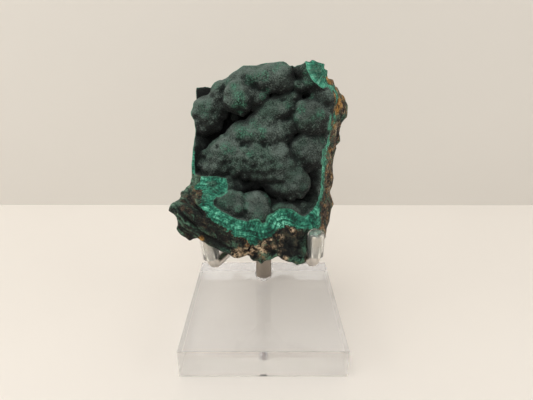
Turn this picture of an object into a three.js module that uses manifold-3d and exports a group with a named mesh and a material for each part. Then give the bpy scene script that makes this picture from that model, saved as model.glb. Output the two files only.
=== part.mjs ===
// Malachite specimen on a clear acrylic display stand.
// Millimetres, +Z up. Origin: centre of the acrylic base's underside. -Y is the front.
import * as THREE from "three";
import { mergeVertices } from "three/addons/utils/BufferGeometryUtils.js";
import Module from "manifold-3d";

// ---------------------------------------------------------------- driving dimensions
const BASE_SIDE = 50.8;          // square base, 2 in
const BASE_THICK = 9.525;        // 3/8 in
const SEAT_DIA = 6.6;            // shallow seat for the post
const SEAT_FLOOR = 8.2;          // height of the seat's floor above the underside
const HOLE_DIA = 3.0;            // blind hole under the seat for the post's stud
const HOLE_FLOOR = 3.8;          // height of the hole's floor above the underside
const STUD_DIA = 2.6;
const POST_DIA = 6.0;
const POST_X = 0, POST_Y = 17.05;
const STUD_BOTTOM = 6.6, POST_BOTTOM = 8.5, POST_TOP = 38.0;
const ROD_DIA = 3.1;             // bent rod arms
const ROD_Z = 32.6;              // height of the arms' straight run
const BEND_R = 2.4;              // centre-line radius of each bend
const PRONG_L = [-14.9, -15.2], PRONG_R = [15.2, -14.6];   // prong feet
const PRONG_L_LEAN = -1.2;       // outward lean of the left prong's tip
const ROD_TIP_Z = 42.3;
const SOCKET_X = 1.95, SOCKET_Y = 15.7;    // where the front arms end inside the post
const REAR_TIP = [0, 15.45, 55.2];
const SLEEVE_DIA = 4.9, SLEEVE_BORE = 3.5, SLEEVE_WALL_TOP = 1.5;
const SLEEVE_L_Z = [35.2, 44.1], SLEEVE_R_Z = [35.6, 44.1], SLEEVE_B_Z = [44.0, 57.6];   // foot and tip of each sleeve
const CLEAR = 0.3;               // gap between pieces that touch
const STONE_Z0 = 32.9, STONE_Z1 = 89.3;    // lowest and highest level of the stone
const STONE_AROUND = 64, STONE_LEVELS = 42;
const SKIN = 0.2;                // the faceted stone stands this far outside its smooth surface

const wasm = await Module(); wasm.setup();

function solid(geometry) {
  const g = geometry.clone(); g.deleteAttribute("normal"); g.deleteAttribute("uv");
  const m = mergeVertices(g, 1e-4);
  const tri = [], idx = m.index.array;
  for (let i = 0; i < idx.length; i += 3) {
    if (idx[i] !== idx[i + 1] && idx[i + 1] !== idx[i + 2] && idx[i] !== idx[i + 2]) tri.push(idx[i], idx[i + 1], idx[i + 2]);
  }
  return new wasm.Manifold(new wasm.Mesh({ numProp: 3, vertProperties: new Float32Array(m.attributes.position.array), triVerts: new Uint32Array(tri) }));
}
function geometryOf(manifold) {
  const m = manifold.getMesh();
  const g = new THREE.BufferGeometry();
  g.setAttribute("position", new THREE.BufferAttribute(new Float32Array(m.vertProperties), 3));
  g.setIndex(new THREE.BufferAttribute(new Uint32Array(m.triVerts), 1));
  g.computeVertexNormals();
  return g;
}

// ---------------------------------------------------------------- the stone's shape
// The cavity is described from a reference point in front of it. Directions from that point are
// given as (a, b): a to the right and b upwards, in hundredths of the distance along the middle line.
const EYE = [0.238, -115.487, 92.793];
const AX_R = [0.999984, -0.004878, 0.002695], AX_U = [-0.000722, 0.366159, 0.930552], AX_F = [0.005526, 0.930540, -0.366150];
// outline of the whole stone
const SIL = [[-18.14, 28.86], [-16.29, 28.99], [-15.78, 29.17], [-14.11, 28.73], [-13.72, 29.37], [-13.21, 30.01],
  [-12.18, 30.53], [-10.65, 30.91], [-9.75, 31.42], [-9.36, 31.94], [-8.34, 32.71], [-7.44, 33.14], [-6.54,
  33.86], [-5.9, 34.3], [-4.23, 34.3], [-2.69, 34.32], [-1.67, 34.63], [-0.13, 34.94], [1.41, 35.07], [2.95,
  35.27], [4.23, 35.4], [5, 35.01], [5.9, 34.12], [6.67, 34.3], [7.18, 33.81], [7.82, 34.32], [8.85, 34.5],
  [9.75, 34.94], [10.13, 35.45], [11.16, 35.14], [11.8, 35.84], [12.95, 35.19], [14.7, 34.76], [14.54, 33.6],
  [15.47, 33.14], [15.39, 32.32], [15.52, 31.04], [16.93, 30.71], [17.19, 29.76], [17.44, 28.99], [18.08,
  28.73], [18.85, 27.19], [19.88, 26.81], [20.39, 25.65], [21.11, 24.11], [20.91, 22.57], [20.85, 21.16],
  [20.14, 20.39], [19.24, 19.75], [18.98, 18.21], [18.85, 16.67], [19.06, 15.01], [17.57, 14.03], [17.78,
  13.21], [17.44, 12.31], [17.06, 10.77], [16.75, 8.72], [16.88, 6.93], [17.06, 5.39], [16.67, 3.59], [16.03,
  2.05], [16.55, 0.51], [17.06, -1.03], [16.42, -2.31], [16.16, -3.85], [15.98, -5.39], [15.26, -7.18],
  [15.13, -8.72], [15.26, -10], [14.62, -11.03], [13.21, -12.83], [11.67, -14.62], [10.65, -15.72], [9.62,
  -16.08], [7.82, -16.49], [6.8, -15.85], [5.52, -15.65], [4.23, -15.13], [2.95, -14.37], [2.05, -14.57],
  [1.03, -15.26], [-0.13, -15.26], [-0.77, -16.16], [-1.54, -16.29], [-2.31, -15.52], [-3.46, -15.72], [-3.98,
  -15.13], [-4.23, -14.16], [-5, -13.98], [-6.03, -14.37], [-7.31, -14.75], [-8.34, -14.62], [-9.36, -13.9],
  [-9.75, -13.6], [-11.42, -13.08], [-12.57, -12.57], [-13.72, -11.93], [-14.75, -11.54], [-15.78, -10.77],
  [-16.67, -10.34], [-17.44, -9.7], [-18.6, -9.88], [-19.11, -10.18], [-19.88, -10.7], [-20.39, -9.88],
  [-21.16, -9.36], [-21.93, -8.72], [-22.57, -7.95], [-22.88, -7.31], [-22.57, -6.41], [-22.62, -5.39],
  [-22.96, -4.23], [-23.6, -3.59], [-24.24, -3.21], [-25.01, -2.69], [-24.88, -2.18], [-24.5, -1.41], [-23.98,
  -0.85], [-22.96, -0.33], [-22.19, 0.13], [-21.93, 1.03], [-22.37, 1.92], [-21.93, 2.57], [-21.16, 2.9],
  [-20.65, 3.46], [-19.75, 3.85], [-19.37, 4.87], [-18.98, 5.9], [-18.98, 7.18], [-19.03, 8.98], [-18.85,
  10.77], [-18.73, 12.57], [-18.65, 13.47], [-18.47, 14.24], [-18.34, 15.39], [-18.08, 16.67], [-18.01,
  17.96], [-18.21, 18.98], [-18.34, 20.39], [-18.73, 21.03], [-19.16, 21.8], [-19.24, 22.45], [-18.98, 23.09],
  [-18.65, 23.86], [-18.67, 24.5], [-18.47, 25.27], [-18.01, 25.78], [-18.08, 27.19]];
// mouth of the cavity: inside it the dark botryoidal skin shows
const MOUTH = [[-29.88, 43.61], [9.62, 43.61], [9.88, 35.4], [10.13, 34.37], [10.52, 33.35], [11.03, 32.32], [11.67, 31.04],
  [12.44, 30.01], [13.34, 29.24], [14.37, 28.6], [15.78, 28.86], [16.55, 28.47], [17.32, 27.45], [17.83,
  26.16], [17.44, 24.63], [17.11, 23.09], [17.06, 21.55], [16.8, 20.01], [16.55, 18.47], [16.29, 17.19],
  [15.78, 15.9], [15.39, 14.11], [15.01, 12.31], [14.75, 10.77], [14.49, 8.98], [14.16, 7.18], [14.24, 5.64],
  [13.93, 4.1], [13.98, 2.57], [13.6, 1.03], [13.34, -0.26], [12.57, -1.54], [11.67, -2.57], [10.9, -3.46],
  [9.75, -4.23], [8.59, -3.98], [7.57, -3.46], [6.67, -3.03], [5.52, -2.69], [4.49, -2.57], [3.21, -2.77],
  [1.67, -3.33], [0.77, -4.1], [0.26, -5.13], [-0.13, -6.03], [-1.15, -6.23], [-2.44, -5.64], [-3.72, -5.39],
  [-5.52, -5.26], [-7.31, -5], [-8.59, -4.49], [-9.88, -3.59], [-11.42, -2.82], [-12.7, -2.05], [-13.6,
  -1.28], [-13.6, -0.13], [-12.95, 0.77], [-11.42, 1.54], [-10.39, 2.44], [-9.88, 2.95], [-10, 4.1], [-10.39,
  5.52], [-11.93, 5.9], [-13.72, 6.03], [-15.52, 6.03], [-16.93, 6.16], [-17.57, 6.67], [-18.26, 6.8],
  [-18.34, 8.98], [-18.26, 10.77], [-18.21, 12.31], [-18.6, 13.34], [-19.62, 13.72], [-29.88, 13.85]];
// points on the broken front face [x, y, z]
const CUT = [[-24, -9, 54], [-24.1, -11, 53.8], [-24.4, -18, 53.5], [-25.1, -20, 52.5], [-22.8, -21.5, 51], [-22.5, -22.5,
  48], [-19.9, -22.5, 44.4], [-17, -22, 45.1], [-13.3, -20.5, 41.5], [-9.9, -19, 39.1], [-20.4, -11, 53.8],
  [-19.8, -9.3, 54.4], [-20.3, -15, 53.2], [-21.1, -18.5, 52.9], [-19.3, -18.5, 51.1], [-17.4, -17, 51.1],
  [-19.9, -22, 48.9], [-15.7, -20.5, 48.2], [-13.2, -20, 45], [-21.1, -4.5, 56.5], [-18.7, -6, 56.7], [-14.8,
  -7.3, 55.6], [-11.1, -6.5, 56.2], [-10.9, -8.8, 54.6], [-13.5, -12, 53.3], [-15.6, -13.5, 52.7], [-14, -15,
  51.7], [-11.5, -16, 50.1], [-7.4, -15.5, 47.4], [-3.3, -14.5, 46.6], [0.7, -13.5, 45.9], [4.5, -11, 47.9],
  [8.3, -10.8, 47.8], [11.9, -11, 46.3], [14.3, -9.5, 47.6], [16.3, -7.5, 49.4], [17.3, -5.5, 51.2], [17.6,
  -4.2, 55.5], [18, -3, 61.4], [18.7, -2.2, 66.6], [19.8, -1.5, 70.1], [20.5, -1, 74.3], [20.8, -1, 78.6],
  [20.4, -1, 80.5], [-11.9, -18.7, 47], [-7.4, -18.3, 43.5], [-2.1, -16.6, 40.4], [4.2, -14.2, 43.3], [6.8,
  -13.6, 44.3], [10.6, -13, 43.7], [14.2, -12.5, 43.2], [16.4, -11, 44.1], [-7.3, -17.8, 37.2], [-3.3, -16.8,
  36], [-0.4, -17.2, 34.9], [3.3, -17.2, 37.2], [7.6, -18, 36.3], [10.5, -17.8, 35.2], [13, -15.2, 36], [13,
  -13.6, 40.1], [15.6, -11.8, 39.2], [17.6, -10.5, 40.2], [7.6, -15.2, 40.9], [1.3, -16, 39.8], [20.4, -4,
  41.5], [19.2, -7.5, 38.4], [21.7, -1, 46.4], [20.8, 1, 49.7], [22, 2, 54.1], [21.6, 3, 57.7], [22.4, 4, 63],
  [24.1, 6, 65.4], [23.9, 6, 68.6], [25.8, 6, 72.6], [26.2, 7, 75.8], [24.4, 6, 78.8], [22.3, 5, 80.8], [20.3,
  3, 83.2], [11.3, -2.5, 88.6], [12.4, -3.8, 85.9], [14.1, -4, 83.5], [16.2, -3.4, 82.1], [17.4, -2.6, 82.6],
  [14, -0.8, 88.9], [16.7, 0.5, 88], [17.6, 0, 85.6], [15.1, -2, 86], [-20.2, -4, 61.6], [-17.7, -6, 73.7],
  [-18.8, -4, 80.2], [-11.8, -6, 83.1], [-4.9, -6, 87], [5.7, -7, 88.1], [1.7, -9, 76.9], [1.8, -12, 66.7],
  [-6.5, -12, 60.4], [1.8, -13, 55.5], [-5.1, -15.5, 53.4]];
// botryoidal lobes by mass: [blend, [[x, y, z, radius], ...]]
const GROUPS = [[2.2, [[5, 0.5, 83.9, 3.71], [0.4, 0.9, 84.2, 3.43], [-3, 1.3, 84.4, 2.72], [2.4, 2.5, 86.3, 2.3], [7, 1,
  82.8, 2.01]]], [1.6, [[-5.7, 3.2, 85.7, 2.17], [-2.2, 3.8, 85.9, 2.04], [-8.6, 2.6, 83.7, 2.47]]], [1.8,
  [[-7.1, 0, 79.3, 4.47], [-4.5, 1.2, 81.1, 2.61], [-9.3, 1.2, 77.4, 2.64], [-6.1, 1.5, 76.2, 2.36]]], [1.6,
  [[-12.9, 2.6, 81.2, 2.63], [-12.2, 1.8, 78.7, 2.34], [-14.7, 2.6, 77.8, 2.22]]], [2.4, [[-17.7, 2.8, 75.1,
  3.73], [-15.6, 2.4, 76.9, 2.37], [-13.1, 2, 75.8, 2.67], [-15.5, 2.6, 71.9, 3.46], [-19, 3.4, 71.7, 2.43],
  [-20.3, 3, 74.2, 1.35], [-18, 3.8, 69.5, 2.45]]], [0.8, [[-13.9, 2.9, 69.7, 1.52]]], [1.5, [[-19.2, 3, 61.9,
  3.12], [-18.8, 5, 56.8, 2.25]]], [0.8, [[-8.4, 3.6, 72.9, 1.67]]], [2.2, [[0.1, 0, 73.8, 3.23], [2.5, 0.6,
  76.1, 2.64], [5.7, 0.5, 77, 2.63], [7.7, 0.4, 77.5, 2.77], [8.8, 0.4, 79.2, 2.17], [6.2, -0.6, 75.1, 2.33],
  [3.6, 0.2, 74.4, 2.35]]], [1.8, [[-2.2, 0.8, 78.9, 3.05], [-0.5, 0.2, 79.2, 2.02], [-4, 1.6, 77.4, 2.06]]],
  [2.6, [[1.9, -0.6, 71.6, 3.24], [6.6, -0.6, 70.7, 3.25], [-2.8, -0.4, 71.9, 2.5], [-0.5, -0.5, 71.9,
  2.65]]], [2.6, [[-2.2, -1.1, 68.4, 4.14], [-6.4, -0.7, 69.5, 3.25], [1.9, -1.3, 68.8, 3.84], [5.7, -0.9,
  68.7, 3.41], [-8.8, -0.4, 67.7, 2.68]]], [3, [[-10.9, -1.8, 63.8, 4.18], [-13.7, -1.2, 62.7, 3.61], [-9.4,
  -0.8, 66, 2.99], [-14.7, -2, 59.5, 3.62], [-16.7, -1, 58.6, 2.44], [-12.2, -2.4, 59, 3.02], [-7, -1.8, 64.1,
  2.98]]], [3, [[-7, -2.6, 61.8, 4.18], [-3.4, -2.4, 63.3, 3.57], [-0.2, -3.2, 62, 4.45], [4.6, -3.2, 62.3,
  4.15], [-8, -2.8, 58.8, 3.16], [-3.8, -3, 58.9, 3.6], [1, -3.4, 58.4, 3.9], [5.2, -3.8, 58.8, 4.18], [8.2,
  -4.8, 57.2, 3.87]]], [2, [[9.6, -6, 55.1, 4.39], [6.2, -4.8, 53.5, 3.61], [3.2, -3.8, 53.1, 2.89], [-1.4,
  -2.6, 55.6, 2.59]]], [1.5, [[11.4, 1.3, 82.5, 2.74], [12.9, 3, 84.6, 3.49], [10, 3.2, 86, 1.88]]], [0.6,
  [[10.1, -0.7, 82.4, 1.65]]], [1.6, [[17.5, 0.2, 79.3, 3.7], [19.5, 1, 76.3, 2.2]]], [1.8, [[13.8, -0.9,
  73.7, 5.54], [18.1, -0.2, 72.4, 3.24], [10.6, -0.5, 74.8, 2.62]]], [2, [[13.4, -0.4, 63.1, 5.9], [10, -0.7,
  64.4, 3.31], [17.2, 0.8, 63.1, 3.06], [13.5, -1.2, 67.6, 2.67]]], [1.8, [[17.7, 2, 56.7, 2.67], [14.9, 2,
  56.1, 3.78], [11.4, 1.2, 57, 2.81]]], [1.2, [[16.7, 1.4, 51.6, 2.86], [15.2, 1, 47.7, 3.05]]], [1.8, [[-8.9,
  -2.2, 53.8, 3.22], [-11.5, -2, 54.4, 2.45], [-5.8, -1.7, 52.3, 2.63], [-3, -1, 50.8, 2.19]]], [1.6, [[-9.9,
  -9.8, 50.1, 4.24], [-12.4, -10, 50.7, 2.62], [-7.7, -11.5, 49.4, 2.89]]], [1.8, [[-1.8, -8.2, 49.3, 4.1],
  [-1.9, -11.2, 46.7, 3.65], [-4.8, -9.5, 50.5, 2.63], [-4.2, -11.5, 47.8, 2.32]]], [2.2, [[6.1, -8.8, 45.7,
  4.19], [9.2, -7.6, 46.1, 2.71], [3.7, -9, 46.4, 2.38], [13.3, -6.2, 45.9, 2.59], [11.1, -5.5, 46.9, 2.14]]]];
// larger swellings under the lobes: [outline, rounding, [x, y, z] on its front, slope along x, slope along z]
const MOUNDS = [[[[-16.29, 7.18], [-15.26, 9.75], [-14.49, 11.8], [-12.95, 13.6], [-10.9, 15.9], [-8.85, 17.44], [-6.8,
  18.73], [-5, 20.26], [-2.95, 22.57], [-0.9, 23.86], [2.95, 25.4], [6.28, 26.16], [7.57, 24.63], [6.03,
  22.57], [6.54, 20.01], [7.57, 17.96], [6.03, 15.39], [5.52, 12.31], [6.54, 8.98], [8.59, 6.93], [10.39,
  4.62], [10.13, 2.57], [8.08, 1.03], [4.49, 1.03], [1.41, 1.8], [-1.67, 3.85], [-5, 4.87], [-7.82, 6.16],
  [-11.42, 6.41], [-15.01, 6.41]], 4, [-2.5, -4, 64.6], -0.02, 0.075], [[[-18.6, 25.14], [-15.52, 26.16],
  [-11.42, 27.7], [-10.39, 25.65], [-10.39, 22.57], [-11.93, 20.01], [-13.47, 17.7], [-17.06, 17.7], [-18.6,
  19.5]], 3, [-15.7, 0.2, 74.9], 0, 0], [[[-11.42, 29.76], [-8.85, 32.32], [-5.77, 33.86], [-1.15, 34.37],
  [4.49, 34.89], [6.54, 32.83], [6.54, 29.24], [4.49, 27.19], [-0.64, 27.7], [-2.69, 24.63], [-5.77, 23.09],
  [-8.85, 23.6], [-10.9, 26.16]], 3, [-1.6, -1.2, 83], 0, 0.04], [[[6.54, 24.63], [9.62, 25.65], [14.24,
  28.73], [17.06, 27.7], [17.06, 22.57], [16.29, 17.44], [13.21, 16.93], [8.59, 17.96], [6.54, 20.52]], 3,
  [14.2, -2.6, 74.9], 0, 0]];

const dot = (p, q) => p[0] * q[0] + p[1] * q[1] + p[2] * q[2];
const smin = (a, b, k) => { const h = Math.max(k - Math.abs(a - b), 0) / k; return Math.min(a, b) - h * h * k * 0.25; };
const smax = (a, b, k) => -smin(-a, -b, k);
const clamp = (v, lo, hi) => Math.min(Math.max(v, lo), hi);
function interp(x, xs, ys) {
  if (x <= xs[0]) return ys[0];
  for (let i = 1; i < xs.length; i++) if (x <= xs[i]) return ys[i - 1] + (ys[i] - ys[i - 1]) * (x - xs[i - 1]) / (xs[i] - xs[i - 1]);
  return ys[ys.length - 1];
}
function insideDistance(poly, a, b) {
  let best = 1e9, inside = false;
  for (let i = 0, n = poly.length; i < n; i++) {
    const [x0, y0] = poly[i], [x1, y1] = poly[(i + 1) % n];
    const ex = x1 - x0, ey = y1 - y0, wx = a - x0, wy = b - y0;
    const t = clamp((wx * ex + wy * ey) / (ex * ex + ey * ey), 0, 1);
    best = Math.min(best, (wx - ex * t) ** 2 + (wy - ey * t) ** 2);
    if ((y0 > b) !== (y1 > b) && a < ex * (b - y0) / ey + x0) inside = !inside;
  }
  return (inside ? 1 : -1) * Math.sqrt(best);
}
// a thin bent plate through the points of the broken face, as distance along the middle line
const phi = (r2) => 0.5 * r2 * Math.log(Math.max(r2, 1e-9));
const plate = (() => {
  const pts = CUT.map((p) => { const q = [p[0] - EYE[0], p[1] - EYE[1], p[2] - EYE[2]]; const d = dot(q, AX_F); return [100 * dot(q, AX_R) / d, 100 * dot(q, AX_U) / d, d]; });
  const n = pts.length, N = n + 3, M = [];
  for (let i = 0; i < N; i++) M.push(new Float64Array(N + 1));
  for (let i = 0; i < n; i++) {
    for (let j = 0; j < n; j++) M[i][j] = phi((pts[i][0] - pts[j][0]) ** 2 + (pts[i][1] - pts[j][1]) ** 2) + (i === j ? 0.6 : 0);
    M[i][n] = M[n][i] = 1; M[i][n + 1] = M[n + 1][i] = pts[i][0]; M[i][n + 2] = M[n + 2][i] = pts[i][1]; M[i][N] = pts[i][2];
  }
  for (let c = 0; c < N; c++) {
    let p = c; for (let r = c + 1; r < N; r++) if (Math.abs(M[r][c]) > Math.abs(M[p][c])) p = r;
    [M[c], M[p]] = [M[p], M[c]];
    for (let r = 0; r < N; r++) if (r !== c) { const k = M[r][c] / M[c][c]; if (k) for (let j = c; j <= N; j++) M[r][j] -= k * M[c][j]; }
  }
  const w = M.map((row, i) => row[N] / row[i]);
  return (a, b) => { let o = w[n] + w[n + 1] * a + w[n + 2] * b; for (let i = 0; i < n; i++) o += w[i] * phi((a - pts[i][0]) ** 2 + (b - pts[i][1]) ** 2); return o; };
})();
function capsule(x, y, z, p, q, r) {
  const e = [q[0] - p[0], q[1] - p[1], q[2] - p[2]];
  const t = clamp(((x - p[0]) * e[0] + (y - p[1]) * e[1] + (z - p[2]) * e[2]) / dot(e, e), 0, 1);
  return Math.hypot(x - p[0] - t * e[0], y - p[1] - t * e[1], z - p[2] - t * e[2]) - r;
}
// below zero inside the stone
function stone(x, y, z) {
  const q = [x - EYE[0], y - EYE[1], z - EYE[2]];
  const d = dot(q, AX_F), a = 100 * dot(q, AX_R) / d, b = 100 * dot(q, AX_U) / d, mm = d / 100;
  const s = insideDistance(MOUTH, a, b) * mm, D = plate(a, b);
  // skin of the cavity: leaning back wall, floor, the slope in from the mouth, swellings and lobes
  let V = smin(3.0 + 0.05 * (z - 60) - 0.09 * x - y, z - (44.6 - 0.02 * x), 2.5);
  V = smin(V, (D + 1.9 * s - d) / 2.0, 1.5);
  for (const [poly, w, p, gx, gz] of MOUNDS) {
    const u = w - insideDistance(poly, a, b) * mm, v = w + (p[1] + gx * (x - p[0]) + gz * (z - p[2])) - y;
    V = smin(V, Math.hypot(Math.max(u, 0), Math.max(v, 0)) + Math.min(Math.max(u, v), 0) - w, 0.6);
  }
  for (const [k, lobes] of GROUPS) {
    let L = 1e3;
    for (const [lx, ly, lz, r] of lobes) L = smin(L, Math.hypot(x - lx, y - ly, z - lz) - r, k);
    V = smin(V, L, 0.6);
  }
  // broken outside: front face, outline, back, lower left flank and underside
  const cut = (D - 1.5 * Math.max(s, 0) - d) / (s > 0 ? 1.7 : 1.0);
  const deep = Math.max(y - 5, 0);
  let C = -insideDistance(SIL, a, b) * mm + 0.22 * deep + 0.02 * deep * deep;
  C = smax(C, y - (12.5 + 0.05 * (z - 60) + 1.2 * Math.sin(0.21 * x + 1.0) * Math.sin(0.17 * z + 0.4) + 0.6 * Math.sin(0.5 * x - 0.3 * z)), 4.0);
  C = smax(C, (-12 * (x + 26.8) + 5 * (y + 15)) / 13 - Math.max(z - 55, 0) * 1.5, 3.0);
  const low = interp(x, [-28, -23, -20, -16, -12, -8, 10, 14, 18], [44, 44, 44, 43, 37, 32, 32, 35, 38]);
  const lift = interp(x, [-30, -13, -11.4, 18], [46.2, 46.2, 35.6, 35.6]);
  let rise = clamp((y + 17.4) / 3.0, 0, 1); rise = rise * rise * (3 - 2 * rise);
  let under = (Math.max(low, low + (lift - low) * rise) + Math.max(y - 4, 0) * 0.45 - z) * 0.8;
  under = smax(under, -capsule(x, y, z, [PRONG_R[0], PRONG_R[1], ROD_Z], [PRONG_R[0], PRONG_R[1], 43], 2.85), 0.3);
  C = smax(C, under, 1.0);
  C = smax(C, cut, 0.5);
  return smax(V, C, 0.35);
}
// a ball of rings, each ring grown outwards from the stone's middle line to its surface
const MIDDLE = [[33, 2, -14.5], [36, 1, -13], [39, 0, -9], [43, -1, -5], [48, -1, 1], [54, 0, 4], [70, 2, 4.5], [80, 3, 5], [85, 5, 4], [89.5, 12, 2]];
function stoneGeometry() {
  const g = new THREE.SphereGeometry(1, STONE_AROUND, STONE_LEVELS);
  const pos = g.attributes.position, zs = MIDDLE.map((m) => m[0]);
  const rows = STONE_LEVELS + 1, cols = STONE_AROUND + 1, R = [];
  const frame = (i) => {
    const sx = pos.getX(i), sy = -pos.getZ(i), level = Math.acos(clamp(pos.getY(i), -1, 1)) / Math.PI, h = Math.hypot(sx, sy);
    const z = STONE_Z1 + (STONE_Z0 - STONE_Z1) * level;
    return [interp(z, zs, MIDDLE.map((m) => m[1])), interp(z, zs, MIDDLE.map((m) => m[2])), z, h < 1e-6 ? 0 : sx / h, h < 1e-6 ? 0 : sy / h];
  };
  for (let i = 0; i < rows * cols; i++) {
    const [cx, cy, z, ux, uy] = frame(i);
    if (!ux && !uy) { R.push(0); continue; }
    let r = 42, n = 0;
    while (r > 0.4 && n++ < 400) { const v = stone(cx + ux * r, cy + uy * r, z); if (v < SKIN) break; r -= Math.max((v - SKIN) * 0.5, 0.04); }
    R.push(Math.max(r, 0.4));
  }
  // lone spikes, where a ring just catches the edge of a lobe, come down to their neighbours
  const out = R.slice();
  for (let j = 1; j < rows - 1; j++) for (let i = 0; i < STONE_AROUND; i++) {
    const at = (dj, di) => R[(j + dj) * cols + (i + di + STONE_AROUND) % STONE_AROUND];
    const near = [at(-1, 0), at(1, 0), at(0, -1), at(0, 1)].filter((v) => v > 0).sort((p, q) => p - q);
    out[j * cols + i] = clamp(at(0, 0), near[0], near[near.length - 2] + 0.6);
  }
  for (let j = 0; j < rows; j++) out[j * cols + STONE_AROUND] = out[j * cols];
  for (let i = 0; i < rows * cols; i++) { const [cx, cy, z, ux, uy] = frame(i); pos.setXYZ(i, cx + ux * out[i], cy + uy * out[i], z); }
  return g;
}

// ---------------------------------------------------------------- stand
function circle(radius, sides) {
  const s = new THREE.Shape();
  for (let i = 0; i < sides; i++) { const t = 2 * Math.PI * (i + 0.5) / sides; const x = radius * Math.cos(t), y = radius * Math.sin(t); if (i) s.lineTo(x, y); else s.moveTo(x, y); }
  s.closePath();
  return s;
}
const V3 = (p) => new THREE.Vector3(p[0], p[1], p[2]);
// a straight run, one round bend, a straight run
function bentPath(points, radius) {
  const path = new THREE.CurvePath(), P = points.map(V3);
  let from = P[0];
  for (let i = 1; i < P.length - 1; i++) {
    const u = P[i].clone().sub(P[i - 1]).normalize(), v = P[i + 1].clone().sub(P[i]).normalize();
    const back = radius * Math.tan(u.angleTo(v) / 2);
    const s = P[i].clone().addScaledVector(u, -back), e = P[i].clone().addScaledVector(v, back);
    path.add(new THREE.LineCurve3(from, s));
    path.add(new THREE.CubicBezierCurve3(s, P[i].clone().addScaledVector(u, -back * 0.45), P[i].clone().addScaledVector(v, -back * 0.0).lerp(e, 0.55), e));
    from = e;
  }
  path.add(new THREE.LineCurve3(from, P[P.length - 1]));
  return path;
}
function rod(points, diameter, sides, steps, bend = BEND_R) {
  return new THREE.ExtrudeGeometry(circle(diameter / 2, sides), { steps, extrudePath: bentPath(points, bend) });
}
const ARM_L = [[-SOCKET_X, SOCKET_Y, ROD_Z], [PRONG_L[0], PRONG_L[1], ROD_Z], [PRONG_L[0] + PRONG_L_LEAN, PRONG_L[1], ROD_TIP_Z]];
const ARM_R = [[SOCKET_X, SOCKET_Y, ROD_Z], [PRONG_R[0], PRONG_R[1], ROD_Z], [PRONG_R[0], PRONG_R[1], ROD_TIP_Z]];
const ARM_B = [[POST_X, POST_Y, POST_TOP - 2.4], [POST_X, POST_Y, 41.0], REAR_TIP];

// clear sleeve with a bore open at its foot and a domed end
function sleeve(foot, tip, length) {
  const R = SLEEVE_DIA / 2, r = SLEEVE_BORE / 2, L = length, p = [];
  p.push(new THREE.Vector2(r, 0), new THREE.Vector2(R, 0), new THREE.Vector2(R, L - R * 0.8));
  for (let i = 1; i < 5; i++) { const t = i / 5 * Math.PI / 2; p.push(new THREE.Vector2(R * Math.cos(t), L - R * 0.8 + R * 0.8 * Math.sin(t))); }
  p.push(new THREE.Vector2(0, L), new THREE.Vector2(0, L - SLEEVE_WALL_TOP), new THREE.Vector2(r, L - SLEEVE_WALL_TOP - 0.3), new THREE.Vector2(r, 0));
  const g = new THREE.LatheGeometry(p, 16);
  const axis = V3(tip).sub(V3(foot)).normalize();
  g.applyQuaternion(new THREE.Quaternion().setFromUnitVectors(new THREE.Vector3(0, 1, 0), axis));
  g.translate(foot[0], foot[1], foot[2]);
  return g;
}
function lerp3(a, b, t) { return [a[0] + (b[0] - a[0]) * t, a[1] + (b[1] - a[1]) * t, a[2] + (b[2] - a[2]) * t]; }
const along = (arm, z) => { const [p, q] = arm.slice(-2); return lerp3(p, q, (z - p[2]) / (q[2] - p[2])); };

const slab = new THREE.Shape([new THREE.Vector2(-BASE_SIDE / 2, -BASE_SIDE / 2), new THREE.Vector2(BASE_SIDE / 2, -BASE_SIDE / 2), new THREE.Vector2(BASE_SIDE / 2, BASE_SIDE / 2), new THREE.Vector2(-BASE_SIDE / 2, BASE_SIDE / 2)]);
const baseBlank = new THREE.ExtrudeGeometry(slab, { depth: BASE_THICK, bevelEnabled: false });
const cyl = (d, z0, z1, sides) => new THREE.CylinderGeometry(d / 2, d / 2, z1 - z0, sides).rotateX(Math.PI / 2).translate(POST_X, POST_Y, (z0 + z1) / 2);
const base = solid(baseBlank).subtract(solid(cyl(HOLE_DIA, HOLE_FLOOR, BASE_THICK + 5, 32))).subtract(solid(cyl(SEAT_DIA, SEAT_FLOOR, BASE_THICK + 5, 40)));

const fat = ROD_DIA + 2 * CLEAR;
let post = solid(cyl(POST_DIA, POST_BOTTOM, POST_TOP, 40)).add(solid(cyl(STUD_DIA, STUD_BOTTOM, POST_BOTTOM + 1, 32)));
for (const arm of [ARM_L, ARM_R]) {
  const far = lerp3(arm[0], arm[1], -0.01), near = lerp3(arm[0], arm[1], 0.3);
  post = post.subtract(solid(rod([far, near], ROD_DIA + 2 * 0.2, 20, 1)));
}
post = post.subtract(solid(rod([[POST_X, POST_Y, POST_TOP - 2.7], [POST_X, POST_Y, POST_TOP + 4]], ROD_DIA + 2 * 0.2, 20, 1)));

// room in the stone for the arms and sleeves that hold it
let specimen = solid(stoneGeometry());
for (const arm of [ARM_L, ARM_R]) specimen = specimen.subtract(solid(rod([lerp3(arm[0], arm[1], -0.05), arm[1], lerp3(arm[1], arm[2], 0.6)], fat, 12, 22)));
for (const [arm, z0, z1] of [[ARM_L, ...SLEEVE_L_Z], [ARM_R, ...SLEEVE_R_Z], [ARM_B, ...SLEEVE_B_Z]]) {
  specimen = specimen.subtract(solid(rod([along(arm, z0 - 0.4), along(arm, z1 + 0.4)], SLEEVE_DIA + 2 * CLEAR, 16, 1)));
}

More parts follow.
